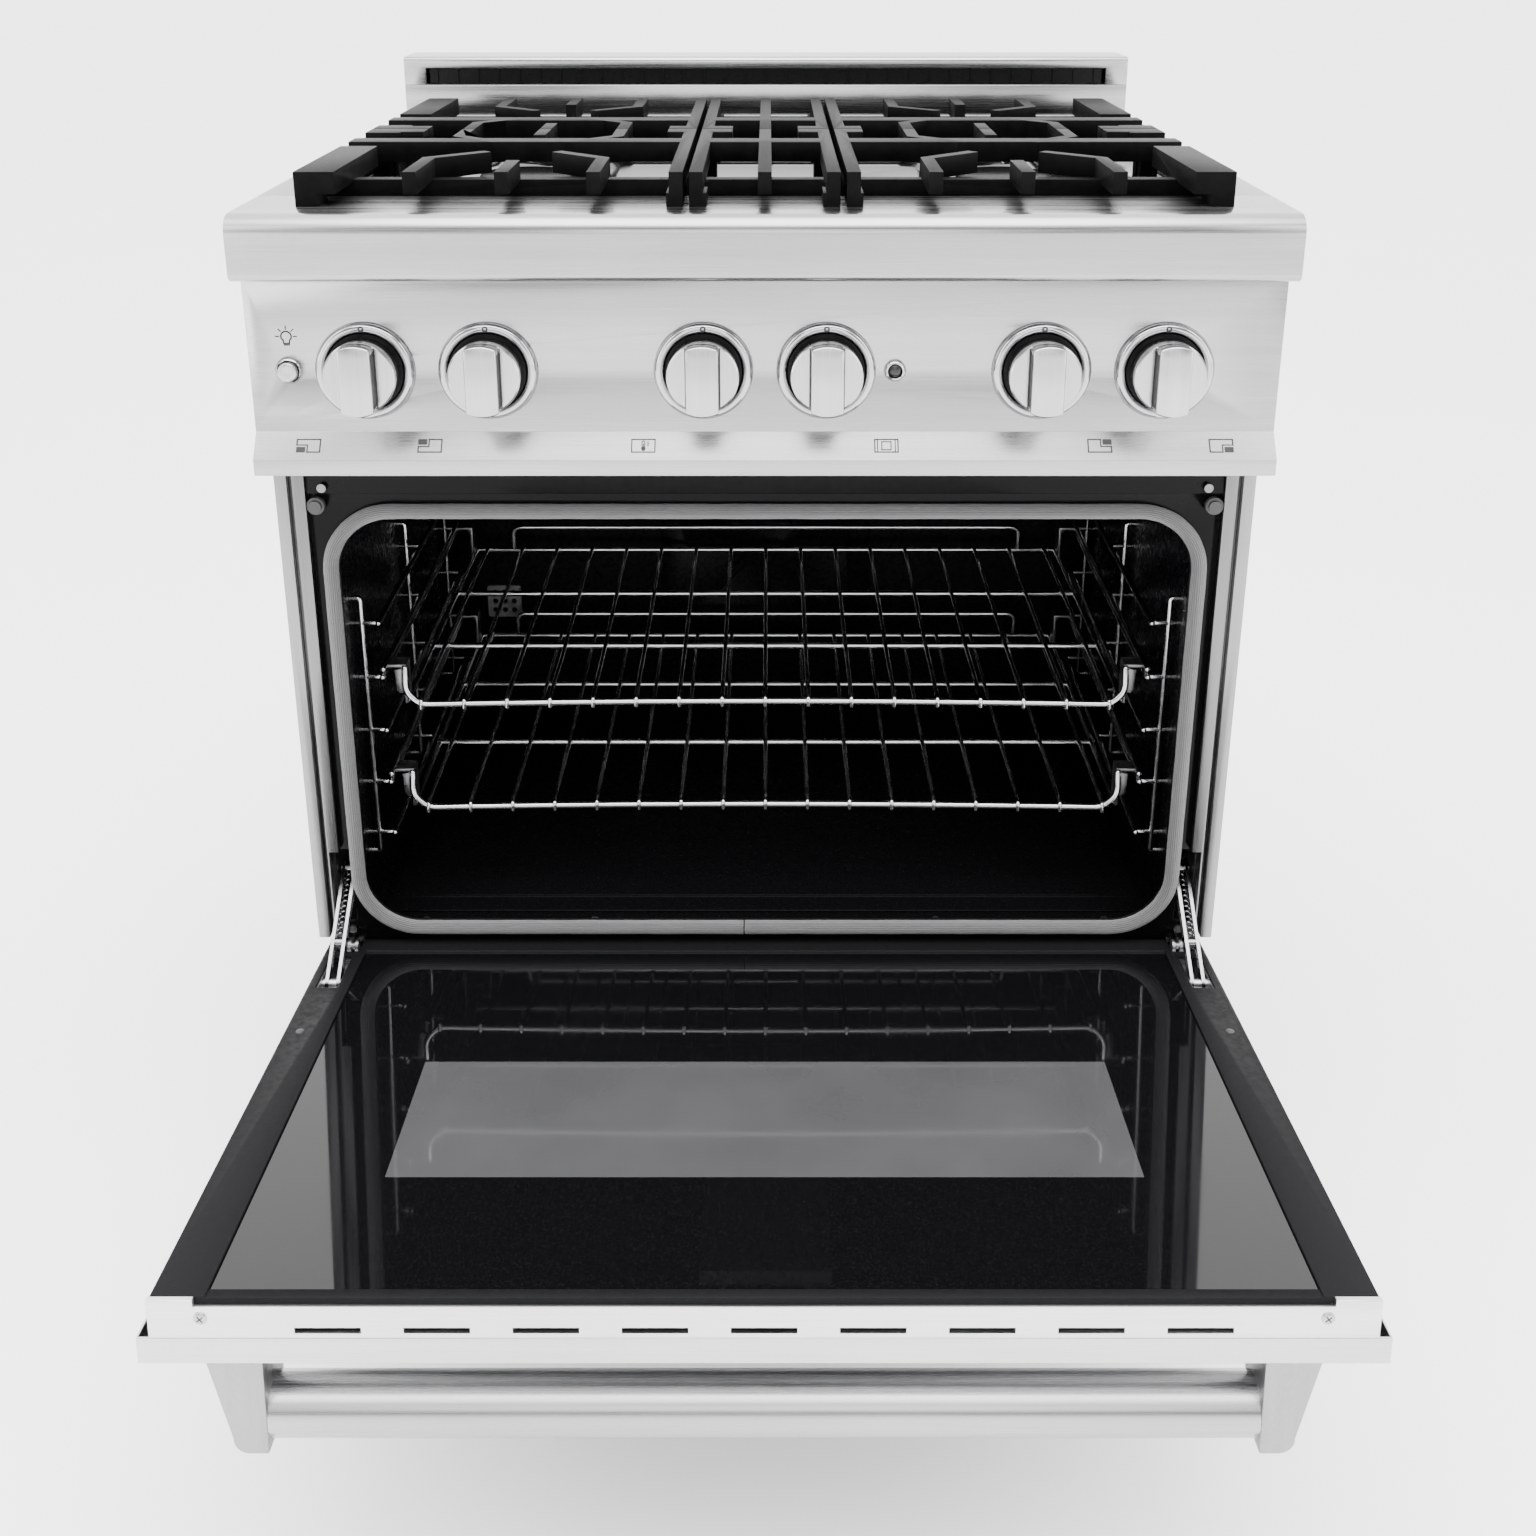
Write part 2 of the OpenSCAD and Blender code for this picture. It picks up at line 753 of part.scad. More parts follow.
module burner_caps() {
    color("dimgray") place() {
        for (s = [-1, 1]) {
            cap(s * burner_x, burner_front_y, front_cap / 2);
            cap(s * burner_x, burner_rear_y, rear_cap / 2);
        }
    }
}

// one flat bar of a casting, given in the plan of a 760 by 645 range
module bar(x0, y0, x1, y1, z0, z1) {
    p = [x0 * spread_x, plan_y(y0)];
    q = [x1 * spread_x, plan_y(y1)];
    d = q - p;
    translate([p[0], p[1], z0])
    rotate([0, 0, atan2(d[1], d[0])])
    translate([0, -grate_bar / 2, 0])
    cube([norm(d), grate_bar, z1 - z0]);
}

// a rectangular part of a casting, given in the same plan
module slab(x0, x1, y0, y1, z0, z1) {
    block(x0 * spread_x, x1 * spread_x, plan_y(y0), plan_y(y1), z0, z1);
}

module side_grate() {
    g = grate_top;
    w = grate_low;
    seam = 242.9;
    slab(-338, -309, -14, 130, w, g);
    slab(-338, -324, 128, 218, w, g - 5);
    slab(-338, -309, 216, seam, w, g);
    slab(-338, -59, 155, 180, w, g);
    slab(-338, -290, 222, seam, w + 2, g);
    slab(-83, -59, 222, seam, w + 2, g);
    slab(-69, -59, -14, seam, w, g);
    slab(-338, -59, 45, 58, rim - 4, w + 2);
    bar(-255, -14, -255, 63, w, g);
    bar(-123, -14, -123, 63, w, g);
    bar(-189, -14, -189, 48, w, g);
    bar(-257, 60, -216, 98, w, g);
    bar(-121, 60, -162, 98, w, g);
    bar(-255, 192, -255, seam, w, g);
    bar(-123, 192, -123, seam, w, g);
    bar(-257, 197, -218, 158, w, g);
    bar(-121, 197, -160, 158, w, g);
    slab(-255, -123, 230, seam, w - 3, w + 5);
    slab(-194, -184, 201, seam, w + 4, g);
    slab(-338, -322, -14, 16, rim, w + 1);
    slab(-71, -59, -14, 16, rim, w + 1);
    slab(-336, -322, 226, seam - 2, tray_floor, w + 1);
    slab(-71, -59, 226, seam - 2, tray_floor, w + 1);
    slab(-336, -322, 44, 59, tray_floor, w + 1);
    slab(-71, -59, 44, 59, tray_floor, w + 1);
}

module middle_grate() {
    g = grate_top;
    w = grate_low;
    seam = 242.9;
    for (s = [-1, 1]) {
        slab(min(s * 44.5, s * 54.5), max(s * 44.5, s * 54.5), -14, seam, w, g);
        slab(min(s * 28, s * 54.5), max(s * 28, s * 54.5), 222, seam, w + 2, g);
        slab(min(s * 42, s * 54.5), max(s * 42, s * 54.5), -14, 16, rim, w + 1);
        slab(min(s * 42, s * 54.5), max(s * 42, s * 54.5), 226, seam - 2, tray_floor, w + 1);
        slab(min(s * 42, s * 54.5), max(s * 42, s * 54.5), 44, 59, tray_floor, w + 1);
    }
    slab(-54.5, 54.5, 155, 180, w, g);
    slab(-54.5, 54.5, 45, 58, rim - 4, w + 2);
    slab(-5, 5, -14, seam, w, g);
    slab(-54.5, 54.5, 232, seam, w - 3, w + 5);
}

module to_rear() {
    translate([0, 2 * seam_y, 0]) mirror([0, 1, 0]) children();
}

module grate_front_left() { color("dimgray") place() side_grate(); }
module grate_front_middle() { color("dimgray") place() middle_grate(); }
module grate_front_right() { color("dimgray") place() mirror([1, 0, 0]) side_grate(); }

// the rear castings end over the tray, so their last feet stand lower than the front ones
module rear_feet(x0, x1) {
    slab(x0, x1, -14, 0, tray_floor, rim + 1);
}

module grate_rear_left() {
    color("dimgray") place() to_rear() {
        side_grate();
        rear_feet(-338, -322);
        rear_feet(-71, -59);
    }
}

module grate_rear_middle() {
    color("dimgray") place() to_rear() {
        middle_grate();
        rear_feet(-54.5, -42);
        rear_feet(42, 54.5);
    }
}

module grate_rear_right() {
    color("dimgray") place() mirror([1, 0, 0]) to_rear() {
        side_grate();
        rear_feet(-338, -322);
        rear_feet(-71, -59);
    }
}

// ---------- backguard ----------

module backguard_riser() {
    y = back - 67;
    top = rim + backguard_height * 0.52;
    color("gainsboro") place() difference() {
        block(-body_half, body_half, y, back, rim, top);
        block(-body_half + 2, body_half - 2, y + 2, back - 2, rim - 1, top - 2);
    }
}

module backguard_cap() {
    y = back - 67;
    low = rim + backguard_height * 0.52;
    top = rim + backguard_height;
    color("gainsboro") place() difference() {
        along_x(-body_half, body_half) {
            translate([y, low]) square([67, top - low - 5]);
            translate([y + 5, low]) square([57, top - low]);
            translate([y + 5, top - 5]) circle(r = 5);
            translate([back - 5, top - 5]) circle(r = 5);
        }
        block(-body_half + 2, body_half - 2, y + 2, back - 2, low - 1, top - 2);
        block(-post_in, post_in, y - 1, y + 3, low - 1, low + 17);
    }
}

// ---------- door ----------

module door_skin() {
    w = half_width - 1;
    y = door_out;
    color("gainsboro") on_door() difference() {
        union() {
            block(-w, w, y, y + 1.5, door_low, door_top);
            both_sides() block(w - sheet, w, y, y + pan_depth, door_low, door_top);
            block(-w, w, y, y + pan_depth, door_low, door_low + sheet);
            block(-w, w, y, y + pan_depth, door_top - sheet, door_top);
        }
        plate_y(-window_width / 2 - 30, window_width / 2 + 30, y - 1, y + 3,
                window_mid - window_height / 2 - 30, window_mid + window_height / 2 + 30, 12);
    }
}

module door_outer_glass() {
    y = door_out + 1.5;
    color([0.1, 0.1, 0.12, 0.6]) on_door()
        plate_y(-window_width / 2 - 42, window_width / 2 + 42, y, y + 3.5,
                window_mid - window_height / 2 - 42, window_mid + window_height / 2 + 42, 14);
}

module door_liner() {
    w = half_width - 10;
    y = door_out + pan_depth;
    low = door_low + 2;
    top = door_top - 4;
    color("dimgray") on_door() difference() {
        block(-w, w, y, door_in, low, top);
        block(-glass_half - 0.5, glass_half + 0.5, y - 1, door_in + 1, cavity_low + 0.5, top - 8);
        block(-glass_half - 0.5, glass_half + 0.5, door_in - 1.2, door_in + 1, cavity_low - 2, top + 1);
        both_sides() block(glass_half + 3, w - 2, y - 1, door_in - 2, low + 2, top - 2);
        both_sides() block(glass_half + 6, w - 3, door_in - 14, door_in + 1, low - 1, pivot_z + 10);
        both_sides() block(strut_x - 9, strut_x + 9, door_in - 3, door_in + 1, pivot_z + 19, pivot_z + 68);
    }
}

module door_inner_glass() {
    y = door_in - 2;
    color([0.08, 0.08, 0.1, 0.6]) on_door()
        block(-glass_half, glass_half, y - glass_thickness, y, cavity_low + 1, door_top - 12.5);
}

module door_insulation() {
    y = door_out + 5.5;
    color("khaki") on_door() difference() {
        block(-glass_half, glass_half, y, door_in - 2.5 - glass_thickness, cavity_low + 2, door_top - 14);
        block(-window_width / 2, window_width / 2, y - 1, door_in, window_mid - window_height / 2,
              window_mid + window_height / 2);
    }
}

// bright channel that closes the top edge of the door, with its row of air slots
module door_end_trim() {
    w = half_width - 9;
    y = door_out + pan_depth;
    color("gainsboro") on_door() difference() {
        union() {
            block(-w, w, y, door_in - 5, door_top - 4, door_top);
            both_sides() block(glass_half + 7, w, door_in - 5, door_in, door_top - 4, door_top);
        }
        for (i = [-4 : 4]) {
            translate([i * 65.7 * spread_x, y + 5, door_top - 5]) translate([-20, -2, 0]) cube([40, 4, 6]);
        }
    }
}

module handle_brackets() {
    y = door_out;
    s = handle_standoff;
    x = half_width - 73;
    color("gainsboro") on_door() both_sides()
        translate([0, 0, handle_z - 20])
        linear_extrude(height = 40) {
            polygon([[x, y], [x + 36.5, y], [x + 21.5, y - s + 9], [x + 12, y - s], [x, y - s]]);
            translate([x + 12, y - s + 10]) circle(r = 10);
        }
}

module handle_bar() {
    x = half_width - 73;
    color("silver") on_door() tube_x(handle_y, handle_z, -x, x, handle_diameter / 2);
}

module hinge_plates() {
    color("silver") on_door() both_sides() {
        for (x = [strut_x - 10.5, strut_x + 8]) {
            block(x, x + 2.5, door_in - 22, door_in - 2, pivot_z + 12, pivot_z + 74);
            block(x, x + 2.5, door_in - 22, door_in - 2, pivot_z - 6, pivot_z + 12);
            tube_x(door_in, pivot_z, x, x + 2.5, 5.2);
        }
        tube_x(door_in, pivot_z, strut_x - 9, strut_x + 9, pivot_pin / 2);
        tube_x(strut_pin_y, strut_pin_z, strut_x - 9, strut_x + 9, strut_pin / 2);
        block(strut_x - 10.5, strut_x + 10.5, door_in - 24, door_in - 22, pivot_z - 6, pivot_z + 74);
    }
}

module door_screws() {
    w = half_width - 10;
    color("silver") on_door() both_sides() {
        tube_y(w - 12, pivot_z + 133, door_in, door_in + 0.6, 3.5);
        translate([glass_half + 2.8, door_in - 12, door_top]) cylinder(h = 1.5, r1 = 4.2, r2 = 3);
    }
}

// folding strut: two flat bars side by side, pinned in the door and running into the chassis
module hinge_strut() {
    py = swung_y(strut_pin_y, strut_pin_z);
    pz = swung_z(strut_pin_y, strut_pin_z);
    place() translate([0, py, pz]) rotate([strut_angle, 0, 0]) difference() {
        union() {
            for (x = [strut_x - 6.5, strut_x + 2]) {
                tube_x(0, 0, x, x + 4.5, 7);
                block(x, x + 4.5, 0, strut_length, -7, 7);
            }
            tube_x(strut_length - 8, 0, strut_x - 3, strut_x + 3, 5);
            tube_x(32, 0, strut_x - 3, strut_x + 3, 5);
        }
        tube_x(0, 0, strut_x - 8, strut_x + 8, strut_pin / 2 + pin_gap);
    }
}

module hinge_strut_left() { color("silver") mirror([1, 0, 0]) hinge_strut(); }
module hinge_strut_right() { color("silver") hinge_strut(); }

// ---------- racks ----------

// chromed wire rack: runners on the guides, and a deck that hangs lower between them
module rack(level) {
    z0 = first_level + level * rack_pitch;
    zr = z0 + 2 * wire + rack_gap;
    zd = z0 - rack_drop;
    x = runner_x - 17;
    yf = guide_front + 3;
    yr = cavity_back - 21;
    reach = x - 13;
    stop_x = reach - 26;
    color("silver") place() {
        both_sides() {
            rod([runner_x, yf, zr], [runner_x, yr - 6, zr], wire);
            rod([x, yf, zd], [x, yr, zd], wire + 0.3);
            for (y = [yf + 6, yr - 26]) {
                block(x - 1, runner_x + 1.5, y, y + 16, zr - 1.5, zr + 1.5);
                block(x - 1, x + 2, y, y + 16, zd - 2, zr + 1.5);
            }
            // the front wire turns up at its end
            rod([x, yf, zd], [x, yf, zr + 1], wire - 0.2);
            block(x - 1, x + 2, yf, yf + 7, zr - 1.5, zr + 1.5);
            rod([stop_x, yr, zd], [stop_x, yr, zd + 25], wire);
        }
        rod([-stop_x - wire, yr, zd + 25], [stop_x + wire, yr, zd + 25], wire);
        for (y = [yf, yf + (yr - yf) * 0.33, yf + (yr - yf) * 0.67, yr]) {
            rod([-x - 2, y, zd], [x + 2, y, zd], wire + 0.3);
        }
        for (i = [0 : rack_wires - 1]) {
            wx = -reach + i * 2 * reach / (rack_wires - 1);
            rod([wx, yf - 4, zd + 4], [wx, yr + 4, zd + 4], wire - 0.4);
        }
    }
}

module rack_upper() { rack(3); }
module rack_lower() { rack(1); }

// ---------- build ----------

side_panel_left();
side_panel_right();
rear_panel();
base_pan();
kick_panel();
front_posts();
front_frame();
oven_liner();
oven_floor_plate();
insulation();
door_gasket();
door_bumpers();
frame_screws();
rack_guides();
oven_burners();
fan_cover();
sensor_grille();
control_panel();
panel_bezels();
indicator_lamp();
gas_manifold();
front_rail();
cooktop_rims();
spill_tray();
burner_bases();
burner_caps();
grate_front_left();
grate_front_middle();
grate_front_right();
grate_rear_left();
grate_rear_middle();
grate_rear_right();
backguard_riser();
backguard_cap();
hinge_receivers();
gas_inlet();
cord_gland();
levelling_feet();
door_skin();
door_liner();
door_end_trim();
door_inner_glass();
door_outer_glass();
door_insulation();
handle_bar();
handle_brackets();
hinge_plates();
door_screws();
hinge_strut_left();
hinge_strut_right();
knob_front_left();
knob_rear_left();
knob_temperature();
knob_oven();
knob_rear_right();
knob_front_right();
lamp_button();
rack_upper();
rack_lower();
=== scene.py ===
import json
import math
import bpy
import bmesh
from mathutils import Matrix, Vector


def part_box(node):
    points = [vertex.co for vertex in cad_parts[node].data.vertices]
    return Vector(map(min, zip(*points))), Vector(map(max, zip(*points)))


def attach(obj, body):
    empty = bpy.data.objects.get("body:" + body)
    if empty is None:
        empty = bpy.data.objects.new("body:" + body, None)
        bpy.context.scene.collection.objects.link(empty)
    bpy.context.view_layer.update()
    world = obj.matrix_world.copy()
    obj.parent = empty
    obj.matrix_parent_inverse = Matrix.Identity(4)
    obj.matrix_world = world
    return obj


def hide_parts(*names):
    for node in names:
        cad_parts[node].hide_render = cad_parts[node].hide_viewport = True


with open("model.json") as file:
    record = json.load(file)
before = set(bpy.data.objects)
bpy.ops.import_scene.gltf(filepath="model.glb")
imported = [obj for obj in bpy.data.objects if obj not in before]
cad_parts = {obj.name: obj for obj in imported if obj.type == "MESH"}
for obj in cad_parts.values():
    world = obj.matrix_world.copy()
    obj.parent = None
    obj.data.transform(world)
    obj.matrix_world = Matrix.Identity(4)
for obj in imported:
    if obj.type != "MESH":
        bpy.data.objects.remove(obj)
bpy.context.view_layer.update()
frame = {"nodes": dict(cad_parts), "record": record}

BODY_OF = {member: body
           for body, members in frame["record"]["behaviour"]["bodies"].items()
           for member in members}
SLOT_OF = {part["node"]: part["material_slot"] for part in frame["record"]["subparts"]}


# ---------------------------------------------------------------- sizes of the drawing, in mm

BODY_DEPTH = 645.0                 # chassis, from its front plane to its back
PANEL_Y = -30.0                    # face of the control panel
KNOB_Z = 796.6                     # middle of the knobs, bezels, button and indicator
KNOB_X = {"knob_front_left": -293.0, "knob_rear_left": -203.0, "knob_temperature": -45.0,
          "knob_oven": 45.0, "knob_rear_right": 203.0, "knob_front_right": 293.0}
BUTTON_X, INDICATOR_X = -349.0, 95.5

PIVOT_Y, PIVOT_Z = -3.0, 287.0     # hinge line of the door
DOOR_OPEN = math.radians(84.6)
DOOR_TOP = 716.0                   # upper end of the door, drawn shut
GLASS_Y = (-9.0, -5.0)             # faces of the inner glass, drawn shut
GLASS_SIDE = 336.0
GLASS_LOW, GLASS_TOP = PIVOT_Z + 11.0, DOOR_TOP - 12.5
WINDOW_WIDTH, WINDOW_HEIGHT = 508.0, 137.0
WINDOW_Z = PIVOT_Z + 240.0

RACK_FRONT, RACK_REAR = 58.0, 424.0
RUNNER_X, DECK_X = 320.0, 303.0
GUIDE_LEVELS = [363.0 + 49.0 * k for k in range(5)]
RACK_LEVEL = {"rack_upper": GUIDE_LEVELS[3], "rack_lower": GUIDE_LEVELS[1]}
RUNNER_LIFT, RACK_DROP = 5.3, 27.0  # from the guide wire up to the runner, and down to the deck

# the front plane of the chassis, as the drawing has it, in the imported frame
Y0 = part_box("backguard_riser")[1][1] - BODY_DEPTH / 1000


def at(x, y, z):
    """A point of the chassis drawing, in millimetres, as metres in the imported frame."""
    return Vector((x / 1000, y / 1000 + Y0, z / 1000))


def on_door(x, y, z):
    """A point of the door drawn shut, at the rest pose of the open door."""
    dy, dz = y - PIVOT_Y, z - PIVOT_Z
    return at(x, PIVOT_Y + dy * math.cos(DOOR_OPEN) - dz * math.sin(DOOR_OPEN),
              PIVOT_Z + dy * math.sin(DOOR_OPEN) + dz * math.cos(DOOR_OPEN))


# ---------------------------------------------------------------- shader helpers

def new_material(name, color, metallic=0.0, roughness=0.5):
    m = bpy.data.materials.new(name)
    m.use_nodes = True
    shader = m.node_tree.nodes["Principled BSDF"]
    shader.inputs["Base Color"].default_value = (*color, 1.0)
    shader.inputs["Metallic"].default_value = metallic
    shader.inputs["Roughness"].default_value = roughness
    return m, m.node_tree, shader


def scaled(color, factor):
    return tuple(min(1.0, c * factor) for c in color)


def noise(nt, scale, detail=4.0, rough=0.55):
    """Noise in the piece's own metres; scale is one number, or three for a stretched pattern."""
    coord = nt.nodes.new("ShaderNodeTexCoord")
    mapping = nt.nodes.new("ShaderNodeMapping")
    mapping.inputs["Scale"].default_value = scale if isinstance(scale, tuple) else (scale,) * 3
    texture = nt.nodes.new("ShaderNodeTexNoise")
    texture.inputs["Scale"].default_value = 1.0
    texture.inputs["Detail"].default_value = detail
    texture.inputs["Roughness"].default_value = rough
    nt.links.new(coord.outputs["Object"], mapping.inputs["Vector"])
    nt.links.new(mapping.outputs["Vector"], texture.inputs["Vector"])
    return texture.outputs["Fac"]


def blend(nt, first, second, share):
    """A share of the first value and the rest of the second."""
    rest = nt.nodes.new("ShaderNodeMath")
    rest.operation = "MULTIPLY"
    rest.inputs[1].default_value = 1.0 - share
    nt.links.new(second, rest.inputs[0])
    total = nt.nodes.new("ShaderNodeMath")
    total.operation = "MULTIPLY_ADD"
    total.inputs[1].default_value = share
    nt.links.new(first, total.inputs[0])
    nt.links.new(rest.outputs[0], total.inputs[2])
    return total.outputs[0]


def roughen(nt, shader, src, low, high):
    """Drives the roughness from low to high over the middle of a pattern."""
    span = nt.nodes.new("ShaderNodeMapRange")
    span.inputs["From Min"].default_value = 0.3
    span.inputs["From Max"].default_value = 0.7
    span.inputs["To Min"].default_value = low
    span.inputs["To Max"].default_value = high
    nt.links.new(src, span.inputs["Value"])
    nt.links.new(span.outputs["Result"], shader.inputs["Roughness"])


def tint(nt, shader, src, dark, light, start=0.3, end=0.7):
    """Drives the colour from dark to light between two levels of a pattern."""
    ramp = nt.nodes.new("ShaderNodeValToRGB")
    low, high = ramp.color_ramp.elements
    low.position, low.color = start, (*dark, 1)
    high.position, high.color = end, (*light, 1)
    nt.links.new(src, ramp.inputs["Fac"])
    nt.links.new(ramp.outputs["Color"], shader.inputs["Base Color"])


def bump(nt, shader, src, strength, distance, before=None):
    node = nt.nodes.new("ShaderNodeBump")
    node.inputs["Strength"].default_value = strength
    node.inputs["Distance"].default_value = distance
    nt.links.new(src, node.inputs["Height"])
    if before is not None:
        nt.links.new(before, node.inputs["Normal"])
    nt.links.new(node.outputs["Normal"], shader.inputs["Normal"])
    return node.outputs["Normal"]


# ---------------------------------------------------------------- materials

def along(axis, long_scale, cross_scale):
    """Scales of a pattern drawn out along one axis."""
    return tuple(long_scale if letter == axis else cross_scale for letter in "xyz")


def brushed(name, axis, color=(0.33, 0.33, 0.334), rough=0.25, grain=0.11):
    """Stainless sheet, its grain running along one axis."""
    m, nt, shader = new_material(name, color, 1.0, rough)
    shader.inputs["Anisotropic"].default_value = 0.35
    streak = noise(nt, along(axis, 9.0, 2600.0), 5.0, 0.7)
    bands = noise(nt, along(axis, 1.2, 120.0), 3.0, 0.6)
    clouds = noise(nt, 3.0, 3.0, 0.5)
    mix = blend(nt, streak, bands, 0.65)
    roughen(nt, shader, mix, rough - grain, rough + grain)
    tint(nt, shader, blend(nt, clouds, mix, 0.4), scaled(color, 0.72), scaled(color, 1.22))
    bump(nt, shader, streak, 0.05, 0.0001)
    return m


def polished(name, color, rough):
    """Plated metal with a faint ripple."""
    m, nt, shader = new_material(name, color, 1.0, rough)
    roughen(nt, shader, noise(nt, 60.0, 3.0, 0.5), rough * 0.6, rough * 1.8)
    bump(nt, shader, noise(nt, 900.0, 2.0, 0.5), 0.03, 0.00005)
    return m


def enamel(name, color, rough=0.16, peel=0.05, gloss=0.20):
    """Glossy vitreous enamel with a slight orange peel and fine specks."""
    m, nt, shader = new_material(name, color, 0.0, rough)
    shader.inputs["Specular IOR Level"].default_value = gloss
    fleck = tuple(c * 2.5 + 0.002 for c in color)
    tint(nt, shader, noise(nt, 1400.0, 2.0, 0.5), color, fleck, 0.62, 0.78)
    wave = noise(nt, 220.0, 3.0, 0.5)
    roughen(nt, shader, wave, rough * 0.8, rough * 1.4)
    bump(nt, shader, wave, peel, 0.0004)
    return m


def cast_iron(name, color=(0.0016, 0.0016, 0.0017), rough=0.46, gloss=0.035):
    """Black cast iron: fine grit over broad unevenness."""
    m, nt, shader = new_material(name, color, 0.0, rough)
    shader.inputs["Specular IOR Level"].default_value = gloss
    grit = noise(nt, 1100.0, 6.0, 0.7)
    broad = noise(nt, 70.0, 4.0, 0.6)
    tint(nt, shader, broad, color, scaled(color, 2.2))
    roughen(nt, shader, grit, rough - 0.14, rough + 0.14)
    first = bump(nt, shader, grit, 0.35, 0.0005)
    bump(nt, shader, broad, 0.15, 0.0012, first)
    return m


def painted(name, color, rough, grain, metallic=0.0):
    """A finish with an even mottle: paint, rubber, ink, plating or cast metal."""
    m, nt, shader = new_material(name, color, metallic, rough)
    mottle = noise(nt, grain, 5.0, 0.6)
    tint(nt, shader, mottle, scaled(color, 0.8), scaled(color, 1.2))
    roughen(nt, shader, mottle, rough - 0.12, rough + 0.12)
    bump(nt, shader, mottle, 0.12, 0.0004)
    return m


def wool():
    """Rock-wool blanket, its fibres lying along X."""
    m, nt, shader = new_material("wool", (0.62, 0.55, 0.36), 0.0, 0.95)
    shader.inputs["Sheen Weight"].default_value = 0.4
    fibres = noise(nt, along("x", 60.0, 260.0), 8.0, 0.75)
    tint(nt, shader, fibres, (0.30, 0.26, 0.16), (0.55, 0.49, 0.34))
    bump(nt, shader, fibres, 0.8, 0.003)
    return m


def woven_seal():
    """Braided glass-fibre cord: ribs along its length, crossed by fine stitches.

    The pattern lies on the tube's own UV, where U is metres along it and V goes once round.
    """
    m, nt, shader = new_material("woven_seal", (0.23, 0.23, 0.235), 0.0, 0.85)
    shader.inputs["Sheen Weight"].default_value = 0.3
    coord = nt.nodes.new("ShaderNodeTexCoord")

    def wave(scale, direction):
        mapping = nt.nodes.new("ShaderNodeMapping")
        mapping.inputs["Scale"].default_value = scale
        nt.links.new(coord.outputs["UV"], mapping.inputs["Vector"])
        node = nt.nodes.new("ShaderNodeTexWave")
        node.wave_type = "BANDS"
        node.bands_direction = direction
        node.inputs["Scale"].default_value = 1.0
        node.inputs["Distortion"].default_value = 1.2
        node.inputs["Detail"].default_value = 2.0
        node.inputs["Detail Scale"].default_value = 1.5
        nt.links.new(mapping.outputs["Vector"], node.inputs["Vector"])
        return node.outputs["Fac"]

    ribs = wave((3.0, 7.5, 1.0), "Y")
    stitches = wave((420.0, 24.0, 1.0), "DIAGONAL")
    fuzz = noise(nt, 500.0, 4.0, 0.7)
    weave = blend(nt, blend(nt, ribs, stitches, 0.6), fuzz, 0.7)
    tint(nt, shader, weave, (0.018, 0.018, 0.019), (0.135, 0.135, 0.138), 0.25, 0.70)
    bump(nt, shader, weave, 0.9, 0.0012)
    return m


def printed_glass():
    """Glass printed black on its back, with the print's fine dots."""
    m, nt, shader = new_material("printed_glass", (0.003, 0.003, 0.0035), 0.0, 0.03)
    shader.inputs["Specular IOR Level"].default_value = 0.30
    shader.inputs["IOR"].default_value = 1.52
    smear = noise(nt, 9.0, 3.0, 0.5)
    roughen(nt, shader, smear, 0.02, 0.06)
    tint(nt, shader, noise(nt, 700.0, 1.0, 0.5),
         (0.002, 0.002, 0.0024), (0.005, 0.005, 0.0055), 0.5, 0.8)
    bump(nt, shader, smear, 0.02, 0.0003)
    return m


def clear_glass(name, color, alpha):
    """Tinted window glass with faint smears."""
    m, nt, shader = new_material(name, color, 0.0, 0.03)
    shader.inputs["IOR"].default_value = 1.52
    shader.inputs["Alpha"].default_value = alpha
    shader.inputs["Specular IOR Level"].default_value = 0.35
    smear = noise(nt, 12.0, 3.0, 0.5)
    roughen(nt, shader, smear, 0.02, 0.07)
    tint(nt, shader, smear, scaled(color, 0.9), scaled(color, 1.1))
    return m


